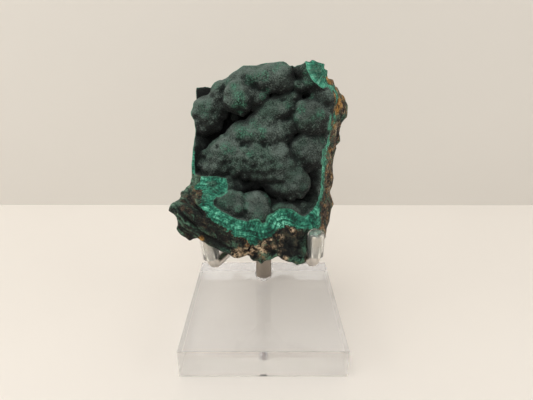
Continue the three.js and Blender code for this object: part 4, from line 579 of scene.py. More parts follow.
def stone_mesh():
    h, K = STEP, 4
    lo, hi = NOMINAL[0] - 1.0, NOMINAL[1] + 1.0
    nc = np.ceil((hi - lo) / (h * K)).astype(int) + 1
    n = nc * K + 1
    coarse_ax = [lo[c] + np.arange(nc[c] + 1) * h * K for c in range(3)]
    G = np.stack(np.meshgrid(*coarse_ax, indexing="ij"), -1)
    F0 = in_parts(lambda p: field(p, False), G.reshape(-1, 3)).reshape(G.shape[:3])
    sign = F0 < 0
    near = np.abs(F0) < h * K * 1.1 + 0.9
    rep = lambda A, k: np.repeat(np.repeat(np.repeat(A, k, 0), k, 1), k, 2)

    def around(A):
        o = np.zeros(np.array(A.shape) - 1, bool)
        for dx in (0, 1):
            for dy in (0, 1):
                for dz in (0, 1):
                    o |= A[dx:dx + o.shape[0], dy:dy + o.shape[1], dz:dz + o.shape[2]]
        return o

    def sample(sign, near, start, pitch, k):
        """The function at k times as many points, but only in cells with a near corner."""
        n = (np.array(sign.shape) - 1) * k + 1
        F = np.full(n, 9.0, np.float32)
        F[:-1, :-1, :-1][rep(sign[:-1, :-1, :-1], k)] = -9.0
        need = np.zeros(n, bool)
        live = rep(around(near), k)
        for dx in (0, 1):
            for dy in (0, 1):
                for dz in (0, 1):
                    need[dx:dx + live.shape[0], dy:dy + live.shape[1], dz:dz + live.shape[2]] |= live
        F[need] = in_parts(field, start + np.argwhere(need) * pitch)
        return F

    F = sample(sign, near, lo, 2 * h, K // 2)
    F = sample(F < 0, np.abs(F) < 2 * h * 1.25, lo, h, 2)
    n = np.array(F.shape)
    F[0] = F[-1] = 1
    F[:, 0] = F[:, -1] = 1
    F[:, :, 0] = F[:, :, -1] = 1
    # a quad mesh through the sampled cells
    S = F < 0
    m = n - 1
    cnt = np.zeros(m, np.int8)
    for dx in (0, 1):
        for dy in (0, 1):
            for dz in (0, 1):
                cnt += S[dx:dx + m[0], dy:dy + m[1], dz:dz + m[2]]
    ii = np.argwhere((cnt > 0) & (cnt < 8))
    idx = np.full(m, -1, np.int64)
    idx[tuple(ii.T)] = np.arange(len(ii))
    acc, num = np.zeros((len(ii), 3)), np.zeros(len(ii))
    cor = [np.array(c) for c in ((0, 0, 0), (1, 0, 0), (0, 1, 0), (1, 1, 0), (0, 0, 1), (1, 0, 1), (0, 1, 1), (1, 1, 1))]
    for p in range(8):
        for q in range(p + 1, 8):
            if np.abs(cor[p] - cor[q]).sum() != 1:
                continue
            fa = F[tuple((ii + cor[p]).T)].astype(float)
            fb = F[tuple((ii + cor[q]).T)].astype(float)
            x = (fa < 0) != (fb < 0)
            t = fa[x] / (fa[x] - fb[x])
            acc[x] += cor[p] + t[:, None] * (cor[q] - cor[p])
            num[x] += 1
    v = lo + (ii + acc / num[:, None]) * h
    quads = []
    for ax in range(3):
        o1, o2 = (ax + 1) % 3, (ax + 2) % 3
        a0 = [slice(None)] * 3
        a1 = [slice(None)] * 3
        a0[ax], a1[ax] = slice(0, n[ax] - 1), slice(1, n[ax])
        d0, d1 = S[tuple(a0)], S[tuple(a1)]
        e = np.argwhere(d0 != d1)
        e = e[(e[:, o1] > 0) & (e[:, o2] > 0) & (e[:, o1] < m[o1]) & (e[:, o2] < m[o2])]
        inner = d0[tuple(e.T)]
        u, w = np.zeros(3, int), np.zeros(3, int)
        u[o1], w[o2] = 1, 1
        q = np.stack([idx[tuple((e - u - w).T)], idx[tuple((e - w).T)], idx[tuple(e.T)], idx[tuple((e - u).T)]], 1)
        q = np.where(inner[:, None], q, q[:, ::-1])
        quads.append(q)
    quads = np.concatenate(quads)
    quads = quads[(quads >= 0).all(1)]
    # only the largest connected body is kept
    label = np.arange(len(v))
    for _ in range(400):
        low = label[quads].min(1)
        new = label.copy()
        for c in range(4):
            np.minimum.at(new, quads[:, c], low)
        new = new[new]
        if (new == label).all():
            break
        label = new
    main = np.bincount(label, minlength=len(v)).argmax()
    keep = label == main
    remap = np.cumsum(keep) - 1
    quads = remap[quads[keep[quads[:, 0]]]]
    v = v[keep]
    for _ in range(2):
        F1 = in_parts(field, v)
        g = np.stack([(in_parts(field, v + e) - F1) / 0.05 for e in np.eye(3) * 0.05], 1)
        st = F1[:, None] * g / np.maximum((g * g).sum(1), 0.2)[:, None]
        ln = np.linalg.norm(st, axis=1, keepdims=True)
        v = v - st * np.minimum(1, 0.45 * h / np.maximum(ln, 1e-9))
    return v, quads, g


def smooth_over(values, quads, n, rounds):
    """Each vertex's value spread over its neighbours, that many times."""
    e = np.concatenate([quads[:, [0, 1]], quads[:, [1, 2]], quads[:, [2, 3]], quads[:, [3, 0]]])
    e = np.concatenate([e, e[:, ::-1]])
    deg = np.maximum(np.bincount(e[:, 0], minlength=n), 1)
    for _ in range(rounds):
        if values.ndim == 1:
            values = 0.5 * values + 0.5 * np.bincount(e[:, 0], values[e[:, 1]], minlength=n) / deg
        else:
            values = 0.5 * values + 0.5 * np.stack([np.bincount(e[:, 0], values[e[:, 1], c], minlength=n) / deg for c in range(values.shape[1])], 1)
    return values


def patch(P, rows, wobble):
    w = np.zeros(len(P))
    for x, y, z, r, s in rows:
        d = np.sqrt((P[:, 0] - x) ** 2 + (P[:, 1] - y) ** 2 + (P[:, 2] - z) ** 2) / r
        w = np.maximum(w, s * ss(1.25, 0.45, d + wobble))
    return w


def build_stone():
    v, quads, g = stone_mesh()
    n = len(v)
    V, C, cut, a, b, mm = [], [], [], [], [], []
    for i in range(0, n, 60000):
        r = skin_and_outside(v[i:i + 60000], True)
        for lst, val in zip((V, C, cut, a, b, mm), r):
            lst.append(val)
    V, C, cut, a, b, mm = (np.concatenate(t) for t in (V, C, cut, a, b, mm))
    base = lambda p: skin_and_outside(p, False)[0]
    Vb = in_parts(base, v)
    gv = np.stack([(in_parts(base, v + e) - Vb) / 0.1 for e in np.eye(3) * 0.1], 1)
    root = v - gv * (Vb / np.maximum((gv * gv).sum(1), 0.3))[:, None]
    # 1 where the surface is the skin of the cavity, 0 on the broken outside; where the
    # nearest skin jumps from lobe to lobe the fibres meet in a seam
    velvet = ss(-0.10, 0.14, V - C + 0.05 * noise(v, 0.9, 7))
    front = ss(-2.2, -0.6, cut - C)
    rub = worn(v, np.ones(n))
    wob = fbm(v, 2.2, 15, 2) * 0.9
    on_front = inside(BRIGHT, a, b) * mm + wob
    on_side = Vb + crust_depth(v) + 0.3 * wob
    bright = front * on_front + (1 - front) * on_side
    # up the right wall the crust is thin
    thin = ss(13, 15, v[:, 0]) * ss(46, 50, v[:, 2]) * ss(84, 81, v[:, 2])
    bright = bright * (1 - thin) + np.minimum(bright, Vb + 0.75 + 0.25 * wob) * thin
    centre = smooth_over(v, quads, n, 14)
    nrm = g / np.maximum(np.linalg.norm(g, axis=1, keepdims=True), 1e-9)
    wide = smooth_over(nrm, quads, n, 6)
    wide /= np.maximum(np.linalg.norm(wide, axis=1, keepdims=True), 1e-9)
    # free: how open each point is, read a little way out along the smoothed normal; the material paints shade into the
    # hollows with it
    free = sum(w * np.clip(in_parts(lambda p: field(p, False), v + wide * d) / d, 0, 1) for w, d in ((0.3, 1.5), (0.35, 3.5), (0.35, 7.5)))
    free = smooth_over(free, quads, n, 3)
    crest = ((v - centre) * nrm).sum(1)
    centre2 = smooth_over(centre, quads, n, 60)
    crest2 = ((v - centre2) * nrm).sum(1)
    me = bpy.data.meshes.new("stone")
    world = (S_LO + (v - NOMINAL[0]) * FIT)
    lo, hi = S_LO + 0.02, S_HI - 0.02
    world = np.clip(world, lo, hi) * MM
    me.vertices.add(n)
    me.vertices.foreach_set("co", world.astype(np.float32).ravel())
    me.loops.add(len(quads) * 4)
    me.loops.foreach_set("vertex_index", quads.astype(np.int32).ravel())
    me.polygons.add(len(quads))
    me.polygons.foreach_set("loop_start", np.arange(0, len(quads) * 4, 4, dtype=np.int32))
    me.polygons.foreach_set("loop_total", np.full(len(quads), 4, np.int32))
    me.update(calc_edges=True)
    me.validate()
    me.polygons.foreach_set("use_smooth", np.ones(len(me.polygons), bool))
    # up: how far the skin faces up, left and forward towards the light; the material paints light and shade with it
    layers = {"velvet": velvet, "bright": bright, "depth": np.clip(-Vb, -1, 12), "crest": np.clip(crest * 2.2, -1, 1), "mass": np.clip(crest2 * 0.9, -1, 1), "front": front, "worn": np.clip(rub, -1.5, 1.5), "wing": wing_of(v), "up": smooth_over(nrm @ np.array([-0.30, -0.22, 0.93]), quads, n, 3), "free": free}
    wobble = fbm(v, 1.6, 101, 3) * 0.35
    for name, rows in PATCH.items():
        layers["p_" + name] = patch(v, rows, wobble)
    for name, val in layers.items():
        at = me.attributes.new(name, "FLOAT", "POINT")
        at.data.foreach_set("value", val.astype(np.float32))
    at = me.attributes.new("root", "FLOAT_VECTOR", "POINT")
    at.data.foreach_set("vector", root.astype(np.float32).ravel())
    ob = bpy.data.objects.new("malachite_stone", me)
    bpy.context.scene.collection.objects.link(ob)
    print("stone", n, "vertices", 2 * len(quads), "triangles", {k: (round(float(x.min()), 2), round(float(x.max()), 2)) for k, x in layers.items()})
    return ob


# ------------------------------------------------------------------ material helpers
def lin(c):
    return tuple((x / 12.92 if x <= 0.04045 else ((x + 0.055) / 1.055) ** 2.4) for x in (v / 255 for v in c)) + (1.0,)


class Mat:
    """A small writer of shader trees."""

    def __init__(self, name):
        self.m = bpy.data.materials.new(name)
        self.m.use_nodes = True
        self.t = self.m.node_tree
        self.t.nodes.clear()
        self.out = self.node("ShaderNodeOutputMaterial")
        self.x = -200

    def node(self, kind, **props):
        n = self.t.nodes.new(kind)
        for k, v in props.items():
            setattr(n, k, v)
        return n

    def put(self, socket, value):
        if isinstance(value, bpy.types.NodeSocket):
            self.t.links.new(value, socket)
        elif isinstance(value, bpy.types.Node):
            self.t.links.new(value.outputs[0], socket)
        elif value is not None:
            socket.default_value = value

    def coords(self):
        tc = self.node("ShaderNodeTexCoord")
        return self.vmath("SCALE", tc.outputs["Object"], scale=1000.0)

    def attr(self, name, vector=False):
        n = self.node("ShaderNodeAttribute", attribute_name=name)
        return n.outputs["Vector"] if vector else n.outputs["Fac"]

    def math(self, op, a, b=None, c=None, clamp=False):
        n = self.node("ShaderNodeMath", operation=op, use_clamp=clamp)
        for s, v in zip(n.inputs, (a, b, c)):
            self.put(s, v)
        return n.outputs[0]

    def vmath(self, op, a, b=None, scale=None):
        n = self.node("ShaderNodeVectorMath", operation=op)
        self.put(n.inputs[0], a)
        if b is not None:
            self.put(n.inputs[1], b)
        if scale is not None:
            self.put(n.inputs["Scale"], scale)
        return n.outputs[1] if op in ("LENGTH", "DOT_PRODUCT", "DISTANCE") else n.outputs[0]

    def step(self, v, e0, e1, a=0.0, b=1.0):
        n = self.node("ShaderNodeMapRange", interpolation_type="SMOOTHSTEP", clamp=True)
        for s, x in zip(n.inputs, (v, e0, e1, a, b)):
            self.put(s, x)
        return n.outputs[0]

    def noise(self, vec, scale, detail=2.0, rough=0.5, distortion=0.0, dims="3D", w=None):
        n = self.node("ShaderNodeTexNoise", noise_dimensions=dims)
        if vec is not None:
            self.put(n.inputs["Vector"], vec)
        if w is not None:
            self.put(n.inputs["W"], w)
        n.inputs["Scale"].default_value = scale
        n.inputs["Detail"].default_value = detail
        n.inputs["Roughness"].default_value = rough
        n.inputs["Distortion"].default_value = distortion
        return n.outputs["Fac"]

    def voronoi(self, vec, scale, feature="F1", out="Distance", randomness=1.0):
        n = self.node("ShaderNodeTexVoronoi", feature=feature)
        self.put(n.inputs["Vector"], vec)
        n.inputs["Scale"].default_value = scale
        n.inputs["Randomness"].default_value = randomness
        return n.outputs[out]

    def mix(self, fac, a, b, mode="MIX"):
        n = self.node("ShaderNodeMix", data_type="RGBA", blend_type=mode, clamp_factor=True)
        self.put(n.inputs[0], fac)
        self.put(n.inputs[6], lin(a) if isinstance(a, tuple) and len(a) == 3 else a)
        self.put(n.inputs[7], lin(b) if isinstance(b, tuple) and len(b) == 3 else b)
        return n.outputs[2]

    def ramp(self, fac, stops, interp="LINEAR"):
        n = self.node("ShaderNodeValToRGB")
        n.color_ramp.interpolation = interp
        e = n.color_ramp.elements
        while len(e) < len(stops):
            e.new(0.5)
        for el, (p, c) in zip(e, stops):
            el.position = p
            el.color = lin(c)
        self.put(n.inputs[0], fac)
        return n.outputs[0]

    def bump(self, height, strength, distance, normal=None):
        n = self.node("ShaderNodeBump")
        n.inputs["Strength"].default_value = strength
        n.inputs["Distance"].default_value = distance
        self.put(n.inputs["Height"], height)
        if normal is not None:
            self.put(n.inputs["Normal"], normal)
        return n.outputs[0]

    def principled(self, **sockets):
        n = self.node("ShaderNodeBsdfPrincipled")
        for k, v in sockets.items():
            self.put(n.inputs[k.replace("_", " ")], v)
        return n

    def done(self, shader):
        self.t.links.new(shader.outputs[0] if isinstance(shader, bpy.types.Node) else shader, self.out.inputs["Surface"])
        return self.m


# ------------------------------------------------------------------ malachite
def stone_material():
    k = Mat("malachite")
    P = k.coords()
    root, depth = k.attr("root", True), k.attr("depth")
    velvet, bright, crest, mass = k.attr("velvet"), k.attr("bright"), k.attr("crest"), k.attr("mass")
    up, free, rub = k.attr("up"), k.attr("free"), k.attr("worn")

    def about(*terms):
        """0.5 plus weight times (term less its middle)."""
        o = None
        for term, weight, middle in terms:
            x = k.math("MULTIPLY_ADD", term, weight, (0.5 if o is None else 0.0) - weight * middle)
            o = x if o is None else k.math("ADD", o, x)
        return o

    def split(colour):
        n = k.node("ShaderNodeSeparateColor")
        k.put(n.inputs[0], colour)
        return n.outputs

    # --- velvet skin: fine near-black crystals, green where it is thin; painted light and shade: paler where it faces up, left and forward towards the light and where it lies open, deeper in hollows, on undersides and in painted shade spots
    grain = k.noise(P, 2.5, 2.0, 0.6)
    fine = k.noise(P, 4.8, 1.0, 0.5)
    speck = split(k.voronoi(P, 2.4, "F1", "Color"))
    broad = k.noise(P, 0.16, 2.0, 0.5)
    # tone: grain plus painted light and shade: lighter facing the light from above and on broad bulges, deeper on
    # undersides and in hollows where little is open
    tone = about((grain, 0.42, 0.5), (fine, 0.52, 0.5), (crest, 0.02, 0.0), (mass, 0.04, 0.0), (free, 0.36, 0.78), (up, 0.24, 0.18), (k.step(up, 0.22, -0.50), -0.085, 0.15))
    skin = k.ramp(tone, [(0.22, (2, 3, 3)), (0.38, (9, 12, 11)), (0.50, (27, 33, 30)), (0.60, (49, 58, 53)), (0.76, (98, 112, 104))])
    skin = k.mix(k.step(broad, 0.40, 0.62), skin, k.mix(1.0, skin, (196, 222, 210), "MULTIPLY"))
    # pale specks where the skin lies open: painted glints
    skin = k.mix(k.math("MULTIPLY", k.step(speck[0], 0.90, 0.98, 0.0, 0.30), k.step(free, 0.35, 0.8)), skin, (122, 136, 128))
    green_n = k.noise(P, 0.9, 3.0, 0.62)
    strand = k.noise(P, 2.2, 2.0, 0.7)
    green_w = k.math("MULTIPLY", k.attr("p_green"), k.step(about((green_n, 0.6, 0.5), (strand, 0.6, 0.5)), 0.36, 0.60))
    green_c = k.ramp(strand, [(0.32, (16, 52, 40)), (0.50, (48, 100, 79)), (0.68, (100, 160, 132))])
    skin = k.mix(k.math("MULTIPLY", green_w, 0.85), skin, green_c)
    # deeper, near-black green in the creases between the domes: painted shade
    skin = k.mix(k.step(about((crest, 1.0, 0.0), (grain, 0.4, 0.5)), 0.42, 0.0, 0.0, 0.45), skin, (9, 26, 20))
    # near-black spots where the stone lies in shadow: painted shade
    skin = k.mix(k.math("MULTIPLY", k.attr("p_shade_spots"), 0.85), skin, (6, 8, 7))
    # --- bright crust: fibres at right angles to the skin, banded in step with it
    across = k.vmath("ADD", root, k.vmath("SCALE", P, scale=0.14))
    fib = k.noise(across, 1.5, 3.0, 0.62)
    fib2 = k.noise(across, 0.9, 2.0, 0.5)
    wave = k.math("ADD", depth, k.math("MULTIPLY", k.noise(P, 0.5, 2.0), 0.5))
    band = k.noise(None, 1.0, 3.0, 0.6, dims="1D", w=k.math("MULTIPLY", wave, 1.9))
    mottle = k.noise(P, 1.3, 3.0, 0.7)
    rings = k.math("MULTIPLY", k.attr("p_rings"), k.math("SUBTRACT", band, 0.5))
    # the crust is also painted with shade in hollows, where free is low
    tint = about((fib, 0.64, 0.5), (band, 0.32, 0.5), (fib2, 0.30, 0.5), (mottle, 0.24, 0.5), (rings, 0.75, 0.0), (k.attr("p_mint"), 0.085, 0.3), (k.attr("p_deep"), -0.10, 0.0), (free, 0.12, 0.8))
    crust = k.ramp(tint, [(0.26, (3, 28, 23)), (0.40, (13, 60, 48)), (0.50, (33, 102, 81)), (0.60, (70, 154, 125)), (0.74, (144, 220, 190))])
    crust = k.mix(k.step(depth, 0.40, 0.08, 0.0, 0.30), crust, (96, 156, 130))
    crust = k.mix(k.math("MULTIPLY", k.attr("p_deep"), 0.6), crust, k.mix(1.0, crust, (90, 190, 190), "MULTIPLY"))
    crust = k.mix(k.math("MULTIPLY", k.attr("p_dull"), k.step(mottle, 0.40, 0.56, 0.35, 1.0)), crust, k.ramp(mottle, [(0.36, (28, 46, 38)), (0.50, (52, 84, 69)), (0.64, (84, 124, 104))]))
    # --- brown rock behind the crust: a mass of chips, black in the pits, paler on their edges
    bend = k.node("ShaderNodeTexNoise")
    k.put(bend.inputs["Vector"], P)
    bend.inputs["Scale"].default_value = 0.9
    bend.inputs["Detail"].default_value = 2.0
    W = k.vmath("ADD", P, k.vmath("SCALE", k.vmath("SUBTRACT", bend.outputs["Color"], (0.5, 0.5, 0.5)), scale=2.2))
    chip = split(k.voronoi(W, 0.75, "F1", "Color"))
    flake = split(k.voronoi(W, 1.7, "F1", "Color"))
    crack = k.voronoi(W, 0.75, "DISTANCE_TO_EDGE", "Distance")
    g1 = k.noise(P, 0.55, 4.0, 0.62)
    g2 = k.noise(P, 1.9, 3.0, 0.68)
    # the rock is also painted with shade in hollows, where free is low
    gt = about((chip[0], 0.13, 0.5), (flake[0], 0.14, 0.5), (g1, 0.45, 0.5), (g2, 0.88, 0.5), (rub, -0.13, 0.1), (crest, 0.16, 0.0), (free, 0.25, 0.8))
    two = lambda w, low, mid, high: k.mix(w, rock, k.ramp(gt, [(0.34, low), (0.50, mid), (0.68, high)]))
    rock = k.ramp(gt, [(0.30, (5, 4, 3)), (0.42, (19, 15, 12)), (0.52, (47, 37, 28)), (0.62, (84, 66, 48)), (0.76, (156, 129, 97))])
    rock = two(k.step(flake[1], 0.70, 0.80, 0.0, 0.6), (34, 18, 8), (94, 60, 30), (164, 118, 64))
    moss = k.ramp(gt, [(0.34, (5, 15, 12)), (0.50, (24, 54, 43)), (0.68, (72, 118, 94))])
    rock = k.mix(k.step(about((k.noise(P, 0.42, 3.0, 0.6), 1.0, 0.5), (flake[2], 0.2, 0.5)), 0.52, 0.60, 0.0, 0.85), rock, moss)
    # near-black patches on the low front rock: painted shade
    rock = two(k.math("MULTIPLY", k.attr("p_low_shade"), 0.92), (3, 4, 3), (10, 14, 11), (40, 46, 36))
    wing = k.math("MAXIMUM", k.attr("wing"), k.attr("p_wing"))
    along_n = k.vmath("DOT_PRODUCT", P, (0.68, 0.1, 0.72))
    lane = k.node("ShaderNodeCombineXYZ")
    k.put(lane.inputs[0], k.math("ADD", along_n, k.math("MULTIPLY", k.noise(P, 0.25, 2.0), 2.4)))
    k.put(lane.inputs[1], k.math("MULTIPLY", k.vmath("DOT_PRODUCT", P, (0.72, 0.1, -0.68)), 0.12))
    stripe = k.noise(lane.outputs[0], 1.2, 3.0, 0.68)
    wt = about((stripe, 1.30, 0.51), (g2, 0.32, 0.5), (rub, -0.12, 0.1), (flake[0], 0.05, 0.5))
    wing_c = k.ramp(wt, [(0.34, (5, 4, 3)), (0.45, (18, 18, 15)), (0.54, (33, 47, 38)), (0.65, (62, 98, 77)), (0.78, (114, 152, 126))])
    rock = k.mix(k.math("MULTIPLY", wing, 0.92), rock, wing_c)
    rock = two(k.math("MULTIPLY", k.attr("p_lip"), 0.85), (30, 52, 42), (76, 110, 90), (124, 160, 136))
    rock = two(k.math("MULTIPLY", k.attr("p_brown"), k.step(g1, 0.36, 0.50)), (8, 6, 5), (38, 30, 24), (92, 74, 58))
    rock = two(k.math("MULTIPLY", k.attr("p_tan"), k.step(g2, 0.40, 0.49)), (22, 16, 11), (108, 87, 65), (214, 186, 152))
    rock = two(k.math("MULTIPLY", k.attr("p_ochre"), k.step(g2, 0.26, 0.42)), (40, 22, 6), (126, 86, 34), (202, 152, 78))
    rock = k.mix(k.math("MULTIPLY", k.attr("p_moss"), k.step(g2, 0.36, 0.50)), rock, moss)
    rock = k.mix(k.math("MULTIPLY", k.attr("p_black"), k.step(g2, 0.72, 0.46)), rock, (7, 8, 7))
    rock = k.mix(k.step(crest, -0.20, -0.7, 0.0, 0.7), rock, (6, 5, 4))
    rock = k.mix(k.step(crack, 0.07, 0.0, 0.0, 0.55), rock, (6, 5, 4))
    # --- put together
    edge = k.math("ADD", k.math("SUBTRACT", bright, k.math("MULTIPLY", k.attr("p_bare"), 2.2)), k.math("MULTIPLY", k.math("SUBTRACT", g2, 0.5), 2.2))
    face = k.mix(k.step(edge, -0.2, 0.2), rock, crust)
    vel = k.step(k.math("ADD", velvet, k.math("MULTIPLY", k.math("SUBTRACT", fine, 0.5), 0.4)), 0.38, 0.62)
    colour = k.mix(vel, face, skin)
    # relief: sugary grain on the velvet, splinters on the crust, chips and grit on the rock
    h_v = about((grain, 0.9, 0.5), (fine, 0.6, 0.5))
    h_c = about((fib, 0.8, 0.5), (mottle, 0.5, 0.5), (band, 0.3, 0.5))
    h_r = about((g2, 1.1, 0.5), (flake[0], 0.35, 0.5), (chip[0], 0.4, 0.5), (fine, 0.4, 0.5), (k.math("MULTIPLY", wing, k.math("SUBTRACT", stripe, 0.5)), 1.4, 0.0))
    hm = k.node("ShaderNodeMix", data_type="FLOAT")
    k.put(hm.inputs[0], k.step(edge, -0.2, 0.2))
    k.put(hm.inputs[2], h_r)
    k.put(hm.inputs[3], h_c)
    hm2 = k.node("ShaderNodeMix", data_type="FLOAT")
    k.put(hm2.inputs[0], vel)
    k.put(hm2.inputs[2], hm.outputs[0])
    k.put(hm2.inputs[3], h_v)
    normal = k.bump(hm2.outputs[0], 0.9, 0.00055)
    rough = k.math("SUBTRACT", 0.76, k.math("MULTIPLY", k.step(speck[1], 0.80, 0.95), 0.26))
    bsdf = k.principled(Base_Color=colour, Roughness=rough, Normal=normal, IOR=1.60, Specular_IOR_Level=0.20, Sheen_Weight=0.05, Sheen_Roughness=0.5, Sheen_Tint=(0.62, 0.74, 0.68, 1.0))
    return k.done(bsdf)


# ------------------------------------------------------------------ stand: smooth pieces in place of the faceted ones
def new_object(name, verts, faces, smooth=True):
    me = bpy.data.meshes.new(name)
    me.from_pydata([tuple(float(c) for c in p) for p in verts], [], faces)
    me.validate()
    bm = bmesh.new()
    bm.from_mesh(me)
    bmesh.ops.remove_doubles(bm, verts=bm.verts, dist=1e-7)
    bmesh.ops.recalc_face_normals(bm, faces=bm.faces)
    bm.to_mesh(me)
    bm.free()
    me.polygons.foreach_set("use_smooth", np.full(len(me.polygons), smooth))
    ob = bpy.data.objects.new(name, me)
    bpy.context.scene.collection.objects.link(ob)
    return ob


def lathe(profile, sides, origin, axis):
    """profile: (radius, height) pairs in millimetres, turned round axis from origin."""
    rot = Vector((0, 0, 1)).rotation_difference(Vector(axis))
    verts, faces = [], []
    for r, h in profile:
        for i in range(sides):
            t = 2 * math.pi * i / sides
            p = rot @ Vector((r * math.cos(t), r * math.sin(t), h)) + Vector(origin)
            verts.append(p * MM)
    rows = len(profile)
    for j in range(rows - 1):
        for i in range(sides):
            i2 = (i + 1) % sides
            faces.append((j * sides + i, j * sides + i2, (j + 1) * sides + i2, (j + 1) * sides + i))
    return verts, faces


def bent(points, radius, straight=10, bend=14):
    """Centre line through points with round bends, in millimetres."""
    P = [Vector(p) for p in points]
    line, start = [], P[0]
    for i in range(1, len(P) - 1):
        u, v = (P[i] - P[i - 1]).normalized(), (P[i + 1] - P[i]).normalized()
        ang = u.angle(v)
        back = radius * math.tan(ang / 2)
        s, e = P[i] - u * back, P[i] + v * back
        line += [start.lerp(s, t / straight) for t in range(straight)]
        n = u.cross(v).normalized()
        c = s + n.cross(u).normalized() * radius
        for t in range(bend):
            q = Quaternion(n, ang * t / bend)
            line.append(c + q @ (s - c))
        start = e
    line += [start.lerp(P[-1], t / straight) for t in range(straight + 1)]
    return line


def tube(line, radius, sides, ends=0.25):
    """A rod along the line, with small chamfers at its ends."""
    verts, faces = [], []
    ring = []
    pts = [line[0]] + [line[0] + (line[1] - line[0]).normalized() * ends] + line[1:-1] + [line[-1] - (line[-1] - line[-2]).normalized() * ends, line[-1]]
    radii = [radius - ends] + [radius] * (len(pts) - 2) + [radius - ends]
    nrm = None
    for i, p in enumerate(pts):
        t = (pts[min(i + 1, len(pts) - 1)] - pts[max(i - 1, 0)]).normalized()
        if nrm is None:
            nrm = t.orthogonal().normalized()
        nrm = (nrm - t * nrm.dot(t)).normalized()
        b = t.cross(nrm)
        ring.append([p + (nrm * math.cos(a) + b * math.sin(a)) * radii[i] for a in (2 * math.pi * j / sides for j in range(sides))])
    for r in ring:
        verts += [v * MM for v in r]
    for j in range(len(ring) - 1):
        for i in range(sides):
            i2 = (i + 1) % sides
            faces.append((j * sides + i, j * sides + i2, (j + 1) * sides + i2, (j + 1) * sides + i))
    faces.append(tuple(range(sides))[::-1])
    faces.append(tuple((len(ring) - 1) * sides + i for i in range(sides)))
    return verts, faces


def sharp_edges(ob, angle=40):
    """Keeps turned and drilled edges crisp."""
    me = ob.data
    bm = bmesh.new()
    bm.from_mesh(me)
    for e in bm.edges:
        e.smooth = not (len(e.link_faces) == 2 and e.calc_face_angle(0) > math.radians(angle))
    bm.to_mesh(me)
    bm.free()


# ------------------------------------------------------------------ stand materials
def steel(name, base, rough, brushed, along_z=True):
    k = Mat(name)
    P = k.coords()
    stretch = k.vmath("MULTIPLY", P, (1.0, 1.0, 18.0) if along_z else (1.0, 1.0, 1.0))
    lines = k.noise(stretch, 1.4, 3.0, 0.6)
    smudge = k.noise(P, 0.35, 3.0, 0.55)
    scratch = k.noise(k.vmath("MULTIPLY", P, (6.0, 6.0, 0.5)), 1.1, 2.0, 0.6)
    r = k.math("ADD", k.math("MULTIPLY", lines, brushed), k.math("MULTIPLY", smudge, 0.10))
    r = k.math("ADD", r, rough - 0.05 - brushed * 0.5)
    c = k.mix(k.step(smudge, 0.42, 0.7, 0.0, 0.25), tuple(base), tuple(int(v * 0.82) for v in base))
    c = k.mix(k.step(scratch, 0.66, 0.76, 0.0, 0.3), c, tuple(min(255, int(v * 1.1)) for v in base))
    normal = k.bump(k.math("ADD", k.math("MULTIPLY", lines, 0.8), k.math("MULTIPLY", scratch, 0.2)), 0.30, 0.00004)
    return k.done(k.principled(Base_Color=c, Metallic=1.0, Roughness=r, Normal=normal))


def clear_vinyl():
    k = Mat("clear_vinyl")
    P = k.coords()
    haze = k.noise(P, 0.7, 3.0, 0.6)
    dust = k.noise(P, 4.0, 1.0, 0.5)
    r = k.math("ADD", k.math("MULTIPLY", haze, 0.12), k.step(dust, 0.66, 0.76, 0.0, 0.12))
    normal = k.bump(haze, 0.12, 0.0002)
    return k.done(k.principled(Base_Color=lin((250, 250, 246)), Transmission_Weight=0.94, IOR=1.47, Roughness=r, Normal=normal))


def lamps_through(k, glass, colour):
    """Clear plastic that lets the lamps light what stands under and behind it."""
    tr, mx, path = k.node("ShaderNodeBsdfTransparent"), k.node("ShaderNodeMixShader"), k.node("ShaderNodeLightPath")
    tr.inputs[0].default_value = lin(colour)
    k.put(mx.inputs[0], path.outputs["Is Shadow Ray"])
    k.put(mx.inputs[1], glass.outputs[0])
    k.put(mx.inputs[2], tr.outputs[0])
    return mx


